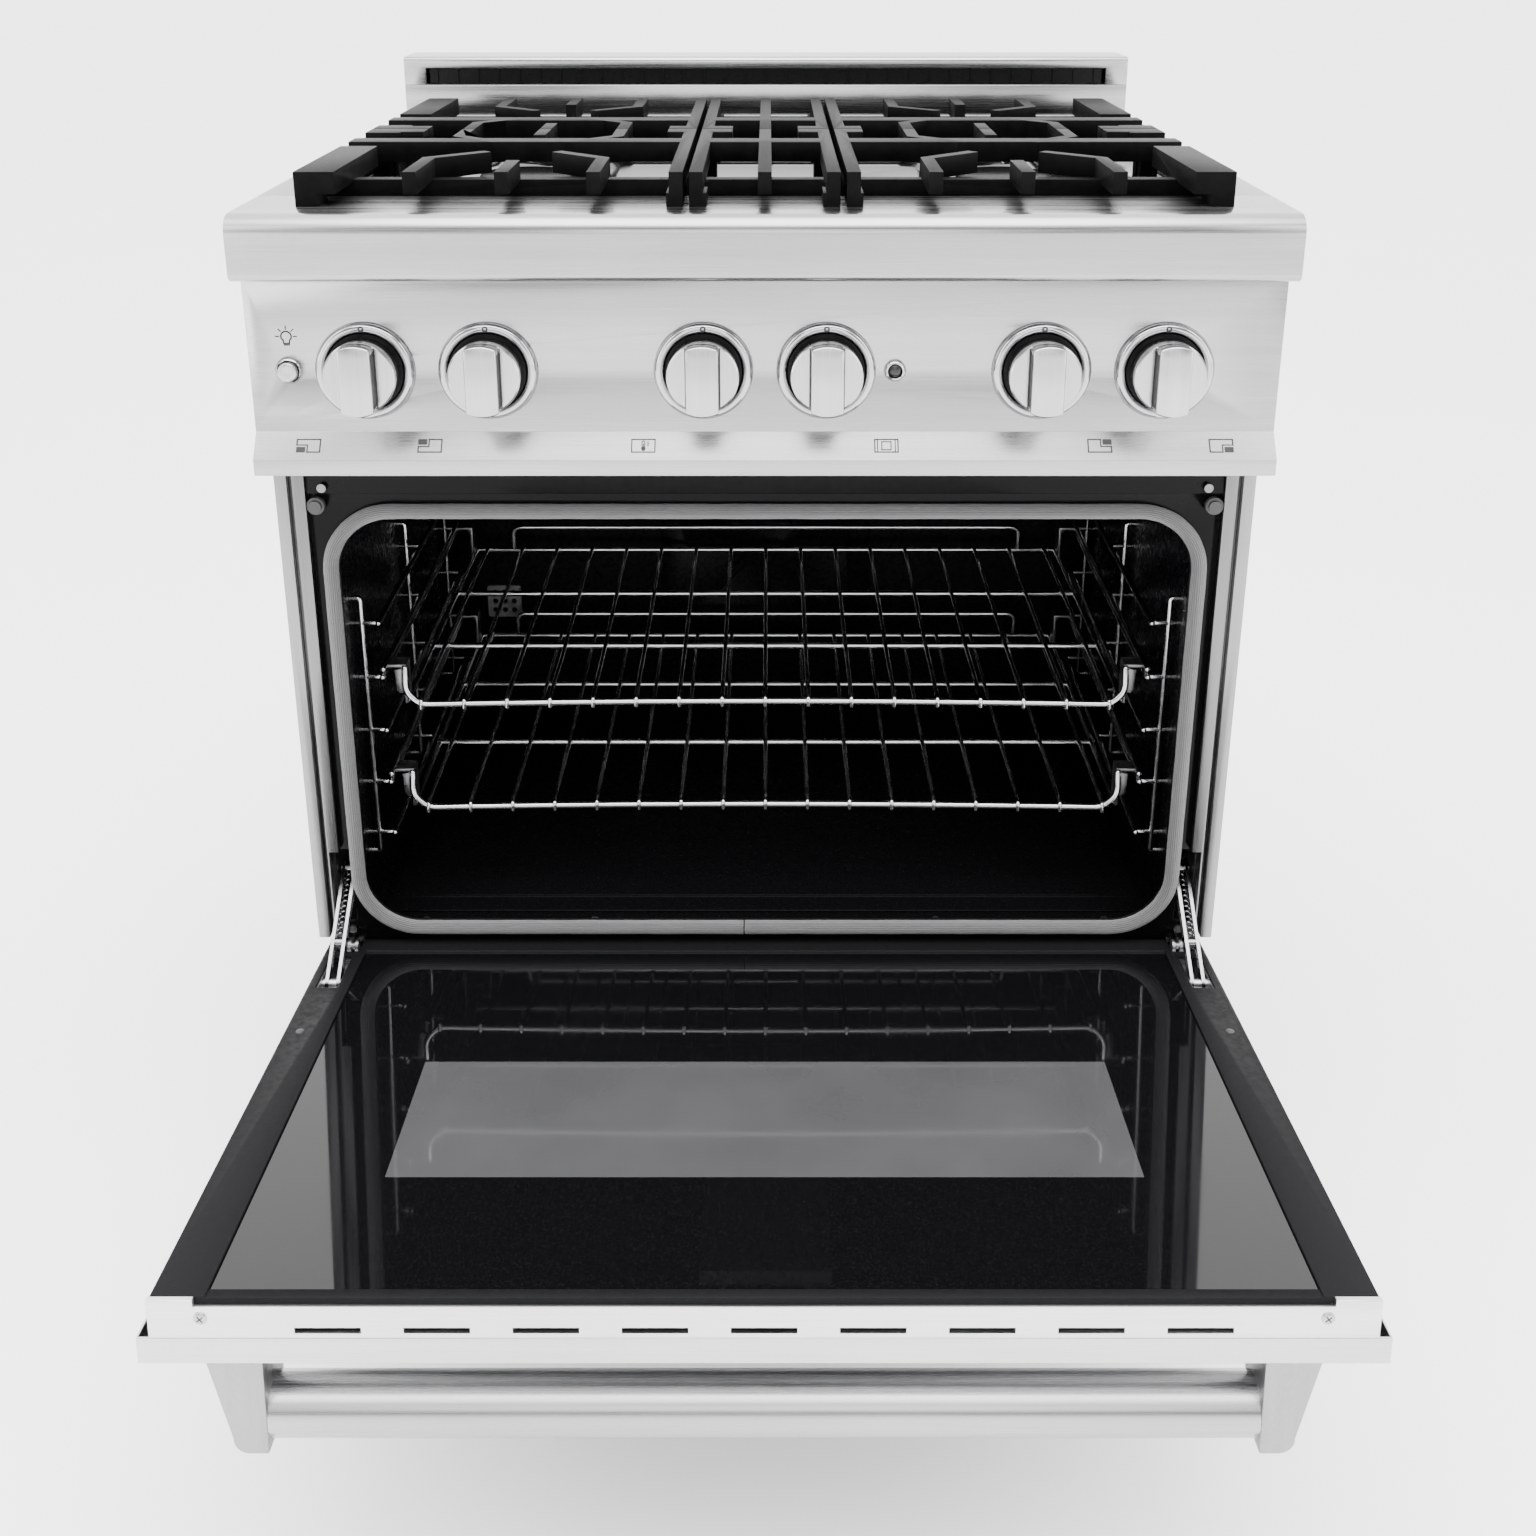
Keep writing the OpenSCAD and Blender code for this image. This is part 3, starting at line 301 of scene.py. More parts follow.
MATS = {
    "steel_x": brushed("steel_grain_x", "x"),
    "steel_y": brushed("steel_grain_y", "y", rough=0.30),
    "steel_post": brushed("steel_post", "z", (0.17, 0.17, 0.172), 0.30),
    "steel_bar": brushed("steel_bar", "x", (0.34, 0.34, 0.344), 0.27, 0.07),
    "steel_skin": brushed("steel_skin", "x", (0.50, 0.50, 0.505), 0.26, 0.08),
    "steel_side": brushed("steel_side", "z", (0.25, 0.25, 0.253), 0.30, 0.09),
    "steel_bright": brushed("steel_bright", "x", (0.62, 0.62, 0.625), 0.30, 0.08),
    "knob": brushed("knob_satin", "z", (0.40, 0.40, 0.404), 0.20, 0.07),
    "chrome": polished("chrome", (0.40, 0.40, 0.41), 0.07),
    "wire": polished("wire_chrome", (0.48, 0.48, 0.49), 0.15),
    "strut": polished("strut_chrome", (0.20, 0.20, 0.205), 0.16),
    "enamel": enamel("black_enamel", (0.002, 0.002, 0.0022), gloss=0.06),
    "tray": enamel("tray_enamel", (0.0025, 0.0025, 0.003), 0.10, gloss=0.22),
    "liner": enamel("liner_enamel", (0.0022, 0.0022, 0.0025), 0.26, 0.02, 0.05),
    "satin_black": enamel("satin_black", (0.006, 0.006, 0.0065), 0.40, gloss=0.045),
    "lens": enamel("dark_lens", (0.004, 0.003, 0.003), 0.08, 0.02, 0.4),
    # black that paints the shade in gaps
    "gap_shade_black": enamel("gap_shade_black", (0.002, 0.002, 0.002), 0.3, 0.04, 0.1),
    "iron": cast_iron("cast_iron"),
    "cap": cast_iron("cap_enamel", (0.0020, 0.0020, 0.0022), 0.30, 0.08),
    "alu": painted("cast_aluminium", (0.10, 0.10, 0.103), 0.40, 700.0, 1.0),
    "zinc": painted("zinc_plate", (0.40, 0.40, 0.41), 0.34, 260.0, 1.0),
    "hook": painted("hook_plate", (0.16, 0.16, 0.163), 0.36, 260.0, 1.0),
    "galv": painted("galvanised_sheet", (0.32, 0.325, 0.33), 0.42, 90.0, 0.8),
    "brass": painted("brass_pipe", (0.48, 0.36, 0.16), 0.32, 200.0, 1.0),
    "rubber": painted("bumper_rubber", (0.040, 0.040, 0.041), 0.7, 900.0),
    "plastic": painted("black_plastic", (0.010, 0.010, 0.011), 0.45, 800.0),
    # black for real print, and for painted shade: the grip side lines and the screw cross recesses
    "ink_and_painted_shade": painted("black_ink_and_painted_shade", (0.002, 0.002, 0.002), 0.6, 1500.0),
    "wool": wool(),
    "seal": woven_seal(),
    "print_glass": printed_glass(),
    "clear_glass": clear_glass("clear_glass", (0.045, 0.045, 0.047), 0.94),
    "outer_glass": clear_glass("outer_glass", (0.006, 0.006, 0.007), 0.97),
}

NODES_IN = {
    "steel_x": ("kick_panel", "control_panel", "front_rail", "backguard_riser", "backguard_cap"),
    "steel_y": ("cooktop_rims",),
    "steel_post": ("front_posts",),
    "steel_side": ("side_panel_left", "side_panel_right", "handle_brackets"),
    "steel_skin": ("door_skin",),
    "steel_bright": ("door_end_trim",),
    "steel_bar": ("handle_bar",),
    "knob": tuple(KNOB_X),
    "chrome": ("panel_bezels", "lamp_button"),
    "wire": ("rack_guides", "rack_upper", "rack_lower"),
    "strut": ("hinge_strut_left", "hinge_strut_right"),
    "enamel": ("front_frame",),
    "tray": ("spill_tray",),
    "liner": ("oven_liner", "oven_floor_plate", "fan_cover"),
    "satin_black": ("door_liner",),
    "lens": ("indicator_lamp",),
    "iron": tuple(f"grate_{row}_{side}" for row in ("front", "rear")
                  for side in ("left", "middle", "right")),
    "cap": ("burner_caps",),
    "alu": ("burner_bases",),
    "zinc": ("oven_burners", "gas_manifold", "hinge_receivers", "levelling_feet",
             "hinge_plates", "door_screws"),
    "hook": ("frame_screws", "sensor_grille"),
    "galv": ("rear_panel", "base_pan"),
    "brass": ("gas_inlet",),
    "rubber": ("door_bumpers",),
    "plastic": ("cord_gland",),
    "wool": ("insulation", "door_insulation"),
    "seal": ("door_gasket",),
    "print_glass": ("door_inner_glass",),
    "outer_glass": ("door_outer_glass",),
}
MATERIAL_OF = {node: key for key, nodes in NODES_IN.items() for node in nodes}
for node, obj in frame["nodes"].items():
    obj.data.materials.clear()
    obj.data.materials.append(MATS[MATERIAL_OF[node]])


# ---------------------------------------------------------------- making pieces

def add_piece(name, mesh, node, material, replaced=()):
    """A visible piece on the body of a CAD node."""
    obj = bpy.data.objects.new(name, mesh)
    bpy.context.collection.objects.link(obj)
    mesh.materials.clear()
    mesh.materials.append(MATS[material])
    body, slot = BODY_OF[node], SLOT_OF[node]
    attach(obj, body)
    if replaced:
        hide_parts(*replaced)
    return obj


def shade_smooth(mesh, angle):
    """Smooth shading, with edges sharper than an angle in degrees left sharp."""
    mesh.polygons.foreach_set("use_smooth", [True] * len(mesh.polygons))
    mesh.set_sharp_from_angle(angle=math.radians(angle))


def mesh_from(name, verts, faces, smooth):
    mesh = bpy.data.meshes.new(name)
    mesh.from_pydata([tuple(v) for v in verts], [], faces)
    mesh.validate()
    bm = bmesh.new()
    bm.from_mesh(mesh)
    bmesh.ops.recalc_face_normals(bm, faces=bm.faces)
    bm.to_mesh(mesh)
    bm.free()
    shade_smooth(mesh, smooth)
    return mesh


def bevelled(mesh, width):
    """A copy of a mesh with its sharp edges rounded."""
    holder = bpy.data.objects.new("bevel_holder", mesh)
    bpy.context.collection.objects.link(holder)
    mod = holder.modifiers.new("Bevel", "BEVEL")
    mod.width = width
    mod.segments = 2
    mod.limit_method = "ANGLE"
    mod.angle_limit = math.radians(35)
    mod.use_clamp_overlap = True
    mod.harden_normals = False
    graph = bpy.context.evaluated_depsgraph_get()
    out = bpy.data.meshes.new_from_object(holder.evaluated_get(graph))
    bpy.data.objects.remove(holder)
    shade_smooth(out, 50)
    return out


def rounded_copy(node, width):
    """Replaces a CAD piece with the same shape with rounded edges."""
    mesh = frame["nodes"][node].data.copy()
    bm = bmesh.new()
    bm.from_mesh(mesh)
    bmesh.ops.remove_doubles(bm, verts=bm.verts, dist=1e-6)
    bmesh.ops.dissolve_limit(bm, angle_limit=math.radians(1.0), verts=bm.verts, edges=bm.edges)
    bmesh.ops.recalc_face_normals(bm, faces=bm.faces)
    bm.to_mesh(mesh)
    bm.free()
    return add_piece("look_" + node, bevelled(mesh, width), node, MATERIAL_OF[node], (node,))


# width of the rounding in metres, and the pieces that get it
ROUNDED = {
    0.0004: ("side_panel_left", "side_panel_right", "rear_panel"),
    0.0005: ("cooktop_rims", "kick_panel", "door_skin"),
    0.0006: ("front_rail", "backguard_riser", "backguard_cap", "front_posts", "front_frame",
             "door_liner", "door_end_trim", "oven_floor_plate"),
    0.0007: ("control_panel",),
    0.0008: ("spill_tray",),
    0.0009: ("burner_caps",),
    0.0012: ("handle_brackets", "fan_cover"),
    0.0014: NODES_IN["iron"],
}
for width, nodes in ROUNDED.items():
    for node in nodes:
        rounded_copy(node, width)


# ---------------------------------------------------------------- shapes

def turned(profile, x, z, steps):
    """(radius, y) points turned round a line along Y, one row of points per step."""
    rows = []
    for i in range(steps):
        turn = 2 * math.pi * i / steps
        rows += [(x + r * math.sin(turn), y, z + r * math.cos(turn)) for r, y in profile]
    return rows


class Shape:
    """Vertices and faces gathered from several parts of one piece."""

    def __init__(self, place=at):
        self.verts, self.faces, self.place = [], [], place

    def add(self, points, faces):
        base = len(self.verts)
        self.verts += [self.place(*p) for p in points]
        self.faces += [tuple(base + i for i in f) for f in faces]

    def lathe(self, profile, x, z, steps):
        """An open outline of (radius, y) points turned round Y, closed at both ends."""
        n = len(profile)
        faces = []
        for i in range(steps):
            a, b = i * n, (i + 1) % steps * n
            faces += [(a + k, a + k + 1, b + k + 1, b + k) for k in range(n - 1)]
        faces += [tuple(i * n + k for i in range(steps)) for k in (0, n - 1)]
        self.add(turned(profile, x, z, steps), faces)

    def ring(self, profile, x, z, steps=96):
        """A closed outline of (radius, y) points turned round Y."""
        n = len(profile)
        faces = []
        for i in range(steps):
            a, b = i * n, (i + 1) % steps * n
            faces += [(a + k, a + (k + 1) % n, b + (k + 1) % n, b + k) for k in range(n)]
        self.add(turned(profile, x, z, steps), faces)

    def prism(self, outline, low, high, to=lambda a, b, c: (a, c, b)):
        """An outline of (x, z) points drawn out along Y, or along another direction through to."""
        n = len(outline)
        points = [to(a, b, c) for c in (low, high) for a, b in outline]
        faces = [tuple(range(n)), tuple(range(2 * n - 1, n - 1, -1))]
        faces += [(k, (k + 1) % n, n + (k + 1) % n, n + k) for k in range(n)]
        self.add(points, faces)

    def slab(self, x0, x1, z0, z1, low, high, to=lambda a, b, c: (a, c, b)):
        """A prism with a rectangular outline."""
        self.prism([(x0, z0), (x1, z0), (x1, z1), (x0, z1)], low, high, to)

    def tube(self, path, radius, sides=14, domed=True):
        """A round wire along a path of points."""
        points = [Vector(p) for p in path]
        last = len(points) - 1
        rows = []
        up = None
        for i, p in enumerate(points):
            along_path = (points[min(i + 1, last)] - points[max(i - 1, 0)]).normalized()
            if up is None:
                up = along_path.orthogonal().normalized()
            up = (up - along_path * up.dot(along_path)).normalized()
            rows.append((p, along_path, up.copy(), radius))
        if domed:
            tips = (0.3, 0.7, 1.1, 1.45)      # angles of the dome's rows, from the wire's end
            for sign in (-1, 1):
                p, d, u, r = rows[0] if sign < 0 else rows[-1]
                dome = [(p + d * sign * r * math.sin(a), d, u, r * math.cos(a)) for a in tips]
                rows = dome[::-1] + rows if sign < 0 else rows + dome
        ring = []
        for p, d, u, r in rows:
            across = d.cross(u)
            for s in range(sides):
                a = 2 * math.pi * s / sides
                ring.append(tuple(p + u * (r * math.cos(a)) + across * (r * math.sin(a))))
        faces = []
        for i in range(len(rows) - 1):
            a, b = i * sides, (i + 1) * sides
            faces += [(a + s, a + (s + 1) % sides, b + (s + 1) % sides, b + s)
                      for s in range(sides)]
        faces += [tuple(end * sides + s for s in range(sides)) for end in (0, len(rows) - 1)]
        self.add(ring, faces)


def bent(points, radius, steps=6):
    """A path with its corners rounded."""
    out = [Vector(points[0])]
    for a, b, c in zip(points, points[1:], points[2:]):
        a, b, c = Vector(a), Vector(b), Vector(c)
        r = min(radius, (a - b).length * 0.45, (c - b).length * 0.45)
        p, q = b + (a - b).normalized() * r, b + (c - b).normalized() * r
        for i in range(steps + 1):
            t = i / steps
            out.append(p * (1 - t) ** 2 + b * 2 * t * (1 - t) + q * t ** 2)
    out.append(Vector(points[-1]))
    return out


def rounded_box(width, height, r, steps, cx, cz):
    """The outline of a rounded rectangle round (cx, cz)."""
    out = []
    for sx, sz, start in ((1, 1, 0), (-1, 1, 90), (-1, -1, 180), (1, -1, 270)):
        for i in range(steps + 1):
            a = math.radians(start + 90 * i / steps)
            out.append((cx + sx * (width / 2 - r) + r * math.cos(a),
                        cz + sz * (height / 2 - r) + r * math.sin(a)))
    return out


def piece(name, shape, node, material, replaced=(), bevel=0.0, smooth=40.0):
    mesh = mesh_from(name, shape.verts, shape.faces, smooth)
    if bevel:
        mesh = bevelled(mesh, bevel)
    return add_piece(name, mesh, node, material, replaced)


# ---------------------------------------------------------------- knobs, bezels, button, indicator

def from_panel(profile):
    """(radius, distance out of the panel) points as (radius, y) points."""
    return [(r, PANEL_Y - out) for r, out in profile]


KNOB_DISC = from_panel([(9, 3.8), (22, 3.8), (24.6, 4.6), (25.4, 6.5), (26.4, 20.4), (26.1, 21.4),
                        (25.2, 22.0), (14, 22.3)])
BEZEL_RING = from_panel([(36.5, 0.9), (36.4, 2.0), (35.9, 3.2), (34.9, 4.6), (33.6, 5.4),
                         (31.8, 5.5), (30.2, 4.9), (29.0, 3.8), (28.4, 2.6), (28.1, 1.5),
                         (28.1, 0.9)])
# black dish in each bezel: its rim round the ring's foot paints a contact shadow, and its floor
# paints the shade in the gap between ring and knob
BEZEL_DISH = from_panel([(36.2, 0.0), (36.2, 1.2), (28.6, 1.4), (28.3, 2.9), (15.0, 3.0),
                         (7.0, 2.8), (7.0, 0.0)])
BEZEL_MARK = from_panel([(2.3, 5.0), (2.2, 5.62), (1.0, 5.62), (0.9, 5.0)])
MARK_RADIUS = 32.2                 # from the knob's middle up to its mark
BUTTON = from_panel([(7.4, -8.0), (7.4, 5.6), (6.9, 6.5), (5.9, 6.9), (3.0, 6.7), (1.0, 6.6)])
LENS = from_panel([(4.8, -10.0), (4.8, 1.0), (4.2, 2.0), (3.0, 2.6), (1.0, 2.9)])
GRIP_HALF, GRIP_RADIUS = 11.8, 26.2
GRIP_BACK, GRIP_FRONT = PANEL_Y - 21.0, PANEL_Y - 34.9


def grip_outline(x):
    """A bar with flat sides and both ends round, as cut from the knob's disc."""
    half, steps = math.asin(GRIP_HALF / GRIP_RADIUS), 8
    turns = [half * i / steps for i in range(-steps, steps + 1)]
    upper = [(x + GRIP_RADIUS * math.sin(a), KNOB_Z + GRIP_RADIUS * math.cos(a)) for a in turns]
    return upper + [(a, 2 * KNOB_Z - b) for a, b in reversed(upper)]


def painted_shade_lines(x):
    """Painted shade and dark reflection: thin black lines down the sides of the grip and on the
    disc beside it.
    """
    shade_lines = Shape()
    for side in (-1, 1):
        shade_lines.prism(rounded_box(0.22, 40.0, 0.1, 2, x + side * 11.86, KNOB_Z - 0.5),
                     PANEL_Y - 22.4, PANEL_Y - 33.0)
        shade_lines.prism(rounded_box(0.9, 45.0, 0.4, 3, x + side * 12.4, KNOB_Z),
                     PANEL_Y - 21.9, PANEL_Y - 22.42)
    return shade_lines


for node, x in KNOB_X.items():
    disc, grip = Shape(), Shape()
    disc.lathe(KNOB_DISC, x, KNOB_Z, 72)
    grip.prism(grip_outline(x), GRIP_BACK, GRIP_FRONT)
    piece("look_" + node, disc, node, "knob", (node,), smooth=30.0)
    piece("grip_" + node, grip, node, "knob", bevel=0.0011, smooth=30.0)
    # thin black pieces that paint the shade and dark reflection beside each grip
    piece("painted_shade_" + node, painted_shade_lines(x), node, "ink_and_painted_shade")

rings, dishes, marks = Shape(), Shape(), Shape()
for x in KNOB_X.values():
    rings.ring(BEZEL_RING, x, KNOB_Z)
    dishes.ring(BEZEL_DISH, x, KNOB_Z)
    marks.ring(BEZEL_MARK, x, KNOB_Z + MARK_RADIUS, 24)
for x, outer, inner in ((BUTTON_X, 10.0, 7.8), (INDICATOR_X, 8.0, 5.0)):
    collar = from_panel([(outer, 0.0), (outer, 1.0), (outer - 0.7, 2.4), (outer - 1.6, 2.9),
                         (inner + 0.5, 2.6), (inner, 1.6), (inner, 0.0)])
    rings.ring(collar, x, KNOB_Z, 48)
piece("look_bezels", rings, "panel_bezels", "chrome", ("panel_bezels",), smooth=35.0)
# painted shade: contact shadow at each ring's foot and the dark gap round each knob
piece("bezel_dishes", dishes, "panel_bezels", "gap_shade_black")
piece("bezel_marks", marks, "panel_bezels", "ink_and_painted_shade")

button, lens = Shape(), Shape()
button.lathe(BUTTON, BUTTON_X, KNOB_Z, 40)
lens.lathe(LENS, INDICATOR_X, KNOB_Z, 32)
piece("look_lamp_button", button, "lamp_button", "knob", ("lamp_button",))
piece("look_indicator", lens, "indicator_lamp", "lens", ("indicator_lamp",))


# ---------------------------------------------------------------- printed signs

LEDGE_RUN, LEDGE_RISE, LEDGE_FOOT_Z = 14.3, 18.0, 732.0
LEDGE_SLOPE = math.hypot(LEDGE_RUN, LEDGE_RISE)
SIGN_MIDDLE = 11.6                 # up the slope of the ledge
PROUD, INK = 0.05, 0.12            # the print stands off the sheet by PROUD and is INK thick
FRAME_W, FRAME_H = 8.6, 5.0        # half width and height of a sign
BULB_Z, BULB_SCALE = 820.5, 1.3


def on_ledge(cx):
    """Places a sign's own (across, up, out) on the sloping ledge, round cx."""
    run, rise = LEDGE_RUN / LEDGE_SLOPE, LEDGE_RISE / LEDGE_SLOPE

    def to(a, b, c):
        up, out = SIGN_MIDDLE + b, PROUD + c
        return (cx + a, PANEL_Y - LEDGE_RUN + up * run - out * rise,
                LEDGE_FOOT_Z + up * rise + out * run)
    return to


def on_panel(a, b, c):
    """Places the bulb's own (across, up, out) on the panel, above the button."""
    return (BUTTON_X + BULB_SCALE * a, PANEL_Y - PROUD - c, BULB_Z + BULB_SCALE * b)


def stroke(shape, line, width, to):
    """Straight strokes of print along a line, square at their ends."""
    for (a0, b0), (a1, b1) in zip(line, line[1:]):
        ahead = Vector((a1 - a0, b1 - b0)).normalized() * width / 2
        beside = Vector((-ahead.y, ahead.x))
        shape.prism([(a0 - ahead.x + beside.x, b0 - ahead.y + beside.y),
                     (a0 - ahead.x - beside.x, b0 - ahead.y - beside.y),
                     (a1 + ahead.x - beside.x, b1 + ahead.y - beside.y),
                     (a1 + ahead.x + beside.x, b1 + ahead.y + beside.y)], 0.0, INK, to)


def box_line(w, h):
    return [(-w, -h), (w, -h), (w, h), (-w, h), (-w, -h)]


def burner_sign(shape, cx, sx, sz):
    """A cooktop outline with one corner filled, on the side that sx and sz give."""
    to = on_ledge(cx)
    w, h = FRAME_W, FRAME_H
    notch_x, notch_z = 0.8 * sx, -0.6 * sz
    stroke(shape, [(notch_x, h * sz), (-w * sx, h * sz), (-w * sx, -h * sz), (w * sx, -h * sz),
                   (w * sx, notch_z)], 1.0, to)
    stroke(shape, [(notch_x, h * sz), (notch_x, notch_z), (w * sx, notch_z)], 0.9, to)
    xs = sorted((2.2 * sx, (w + 0.3) * sx))
    zs = sorted((0.9 * sz, (h + 0.3) * sz))
    shape.slab(*xs, *zs, 0.0, INK, to)


def oven_sign(shape, cx):
    """An oven front: a window between two uprights."""
    to = on_ledge(cx)
    stroke(shape, box_line(FRAME_W, FRAME_H), 0.95, to)
    stroke(shape, box_line(3.4, 3.2), 0.85, to)
    for a in (-6.6, 6.6):
        stroke(shape, [(a, -FRAME_H), (a, FRAME_H)], 0.75, to)


def thermometer_sign(shape, cx):
    """A thermometer in a frame, with three scale lines."""
    to = on_ledge(cx)
    stroke(shape, box_line(FRAME_W, FRAME_H), 0.95, to)
    stroke(shape, [(-1.0, -1.2), (-1.0, 3.0), (-0.5, 3.7), (0.5, 3.7), (1.0, 3.0), (1.0, -1.2)],
           0.7, to)
    shape.prism([(1.7 * math.cos(a * math.pi / 8), -2.4 + 1.7 * math.sin(a * math.pi / 8))
                 for a in range(16)], 0.0, INK, to)
    shape.slab(-0.4, 0.4, -2.4, 1.6, 0.0, INK, to)
    for k in range(3):
        stroke(shape, [(2.6, 0.4 + 1.3 * k), (4.2, 0.4 + 1.3 * k)], 0.6, to)


def bulb_sign(shape):
    """A shining bulb, in place of the word beside the button."""
    glass = [(2.9 * math.sin(math.radians(a)), 1.4 + 2.9 * math.cos(math.radians(a)))
             for a in range(-140, 141, 20)]
    stroke(shape, glass + [(1.5, -2.6), (-1.5, -2.6), glass[0]], 0.75, on_panel)
    stroke(shape, [(-1.3, -3.5), (1.3, -3.5)], 0.75, on_panel)
    for a in (-90, -45, 0, 45, 90):
        s, c = math.sin(math.radians(a)), math.cos(math.radians(a))
        stroke(shape, [(4.2 * s, 1.4 + 4.2 * c), (5.8 * s, 1.4 + 5.8 * c)], 0.65, on_panel)


signs = Shape()
for cx, sx, sz in ((-338.0, -1, -1), (-248.0, -1, 1), (248.0, 1, 1), (338.0, 1, -1)):
    burner_sign(signs, cx, sx, sz)
oven_sign(signs, 90.0)
thermometer_sign(signs, -90.0)
bulb_sign(signs)
piece("panel_signs", signs, "control_panel", "ink_and_painted_shade")


# ---------------------------------------------------------------- door seal

SEAL_SIDE, SEAL_LOW, SEAL_TOP = 341.0, 301.0, 675.0   # middle line of the cord
SEAL_CORNER, SEAL_RADIUS, SEAL_Y = 50.0, 6.0, 3.9
SEAL_FATTEST = 6.1
SEAL_ENDS = (-17.5, -18.4)         # the cord's two ends, which meet at the bottom


def seal_path(spacing=12.0, corner_steps=14):
    """The cord's middle line as close points, from end to end round the mouth."""
    middle, half = (SEAL_LOW + SEAL_TOP) / 2, (SEAL_TOP - SEAL_LOW) / 2
    corners = [(SEAL_ENDS[0], SEAL_LOW)]
    for sx, sz, start in ((1, -1, 270), (1, 1, 0), (-1, 1, 90), (-1, -1, 180)):
        for i in range(corner_steps + 1):
            a = math.radians(start + 90 * i / corner_steps)
            corners.append((sx * (SEAL_SIDE - SEAL_CORNER) + SEAL_CORNER * math.cos(a),
                            middle + sz * (half - SEAL_CORNER) + SEAL_CORNER * math.sin(a)))
    corners.append((SEAL_ENDS[1], SEAL_LOW))
    dense = [Vector(corners[0])]
    for p in map(Vector, corners[1:]):
        start = dense[-1].copy()
        steps = max(1, int((p - start).length / spacing))
        dense += [start.lerp(p, (k + 1) / steps) for k in range(steps)]
    return dense


def seal_mesh(name, sides=24):
    """The cord as a tube with its own UV: U in metres along it, V once round."""
    path = seal_path()
    last, row = len(path) - 1, sides + 1
    verts, uvs, faces = [], [], []
    run = 0.0
    for i, p in enumerate(path):
        ahead = (path[min(i + 1, last)] - path[max(i - 1, 0)]).normalized()
        out = Vector((ahead.y, -ahead.x))
        run += (p - path[max(i - 1, 0)]).length
        swell = 1.0 + 0.012 * math.sin(run * 0.11) + 0.010 * math.sin(run * 0.31 + 1.0)
        r = min(SEAL_RADIUS * swell, SEAL_FATTEST)
        for s in range(row):
            a = 2 * math.pi * s / sides
            verts.append(at(p.x + out.x * r * math.cos(a), SEAL_Y - r * math.sin(a),
                            p.y + out.y * r * math.cos(a)))
            uvs.append((run / 1000, s / sides))
    for i in range(last):
        a, b = i * row, (i + 1) * row
        faces += [(a + s, a + s + 1, b + s + 1, b + s) for s in range(sides)]
    faces += [tuple(base + s for s in range(sides)) for base in (0, last * row)]
    mesh = bpy.data.meshes.new(name)
    mesh.from_pydata([tuple(v) for v in verts], [], faces)
    layer = mesh.uv_layers.new(name="UVMap")
    for loop in mesh.loops:
        layer.data[loop.index].uv = uvs[loop.vertex_index]
    bm = bmesh.new()
    bm.from_mesh(mesh)
    bmesh.ops.recalc_face_normals(bm, faces=bm.faces)
    bm.to_mesh(mesh)
    bm.free()
    mesh.polygons.foreach_set("use_smooth", [True] * len(mesh.polygons))
    return mesh


add_piece("look_door_gasket", seal_mesh("look_door_gasket"), "door_gasket", "seal",
          ("door_gasket",))


# ---------------------------------------------------------------- inner glass of the door

WINDOW = (-WINDOW_WIDTH / 2, WINDOW_WIDTH / 2,
          WINDOW_Z - WINDOW_HEIGHT / 2, WINDOW_Z + WINDOW_HEIGHT / 2)


def framed_plate(outer, inner, ys):
    """A flat plate of the door with an opening; outer and inner are (x0, x1, z0, z1)."""
    points, faces = [], []
    for y in ys:
        for x0, x1, z0, z1 in (outer, inner):
            points += [(x0, y, z0), (x1, y, z0), (x1, y, z1), (x0, y, z1)]
    for k in range(4):
        m = (k + 1) % 4
        faces += [(k, m, 4 + m, 4 + k), (8 + k, 8 + m, 12 + m, 12 + k),
                  (k, m, 8 + m, 8 + k), (4 + k, 4 + m, 12 + m, 12 + k)]
    shape = Shape(on_door)
    shape.add(points, faces)
    return shape


glass = framed_plate((-GLASS_SIDE, GLASS_SIDE, GLASS_LOW, GLASS_TOP), WINDOW, GLASS_Y)
piece("look_inner_glass", glass, "door_inner_glass", "print_glass", ("door_inner_glass",))
pane = Shape(on_door)
pane.prism(rounded_box(WINDOW_WIDTH, WINDOW_HEIGHT, 0.5, 2, 0.0, WINDOW_Z), *GLASS_Y)
piece("window_pane", pane, "door_inner_glass", "clear_glass")


# ---------------------------------------------------------------- racks and guides

DECK_WIRES = 17
DECK_REACH = DECK_X - 13           # from the middle to the last long wire
DECK_SAG = 3.2                     # rise of the deck from its sides to its middle
HOOK_LONG = 16.0


def deck_rise(x):
    return DECK_SAG * (1 - (x / DECK_REACH) ** 2)


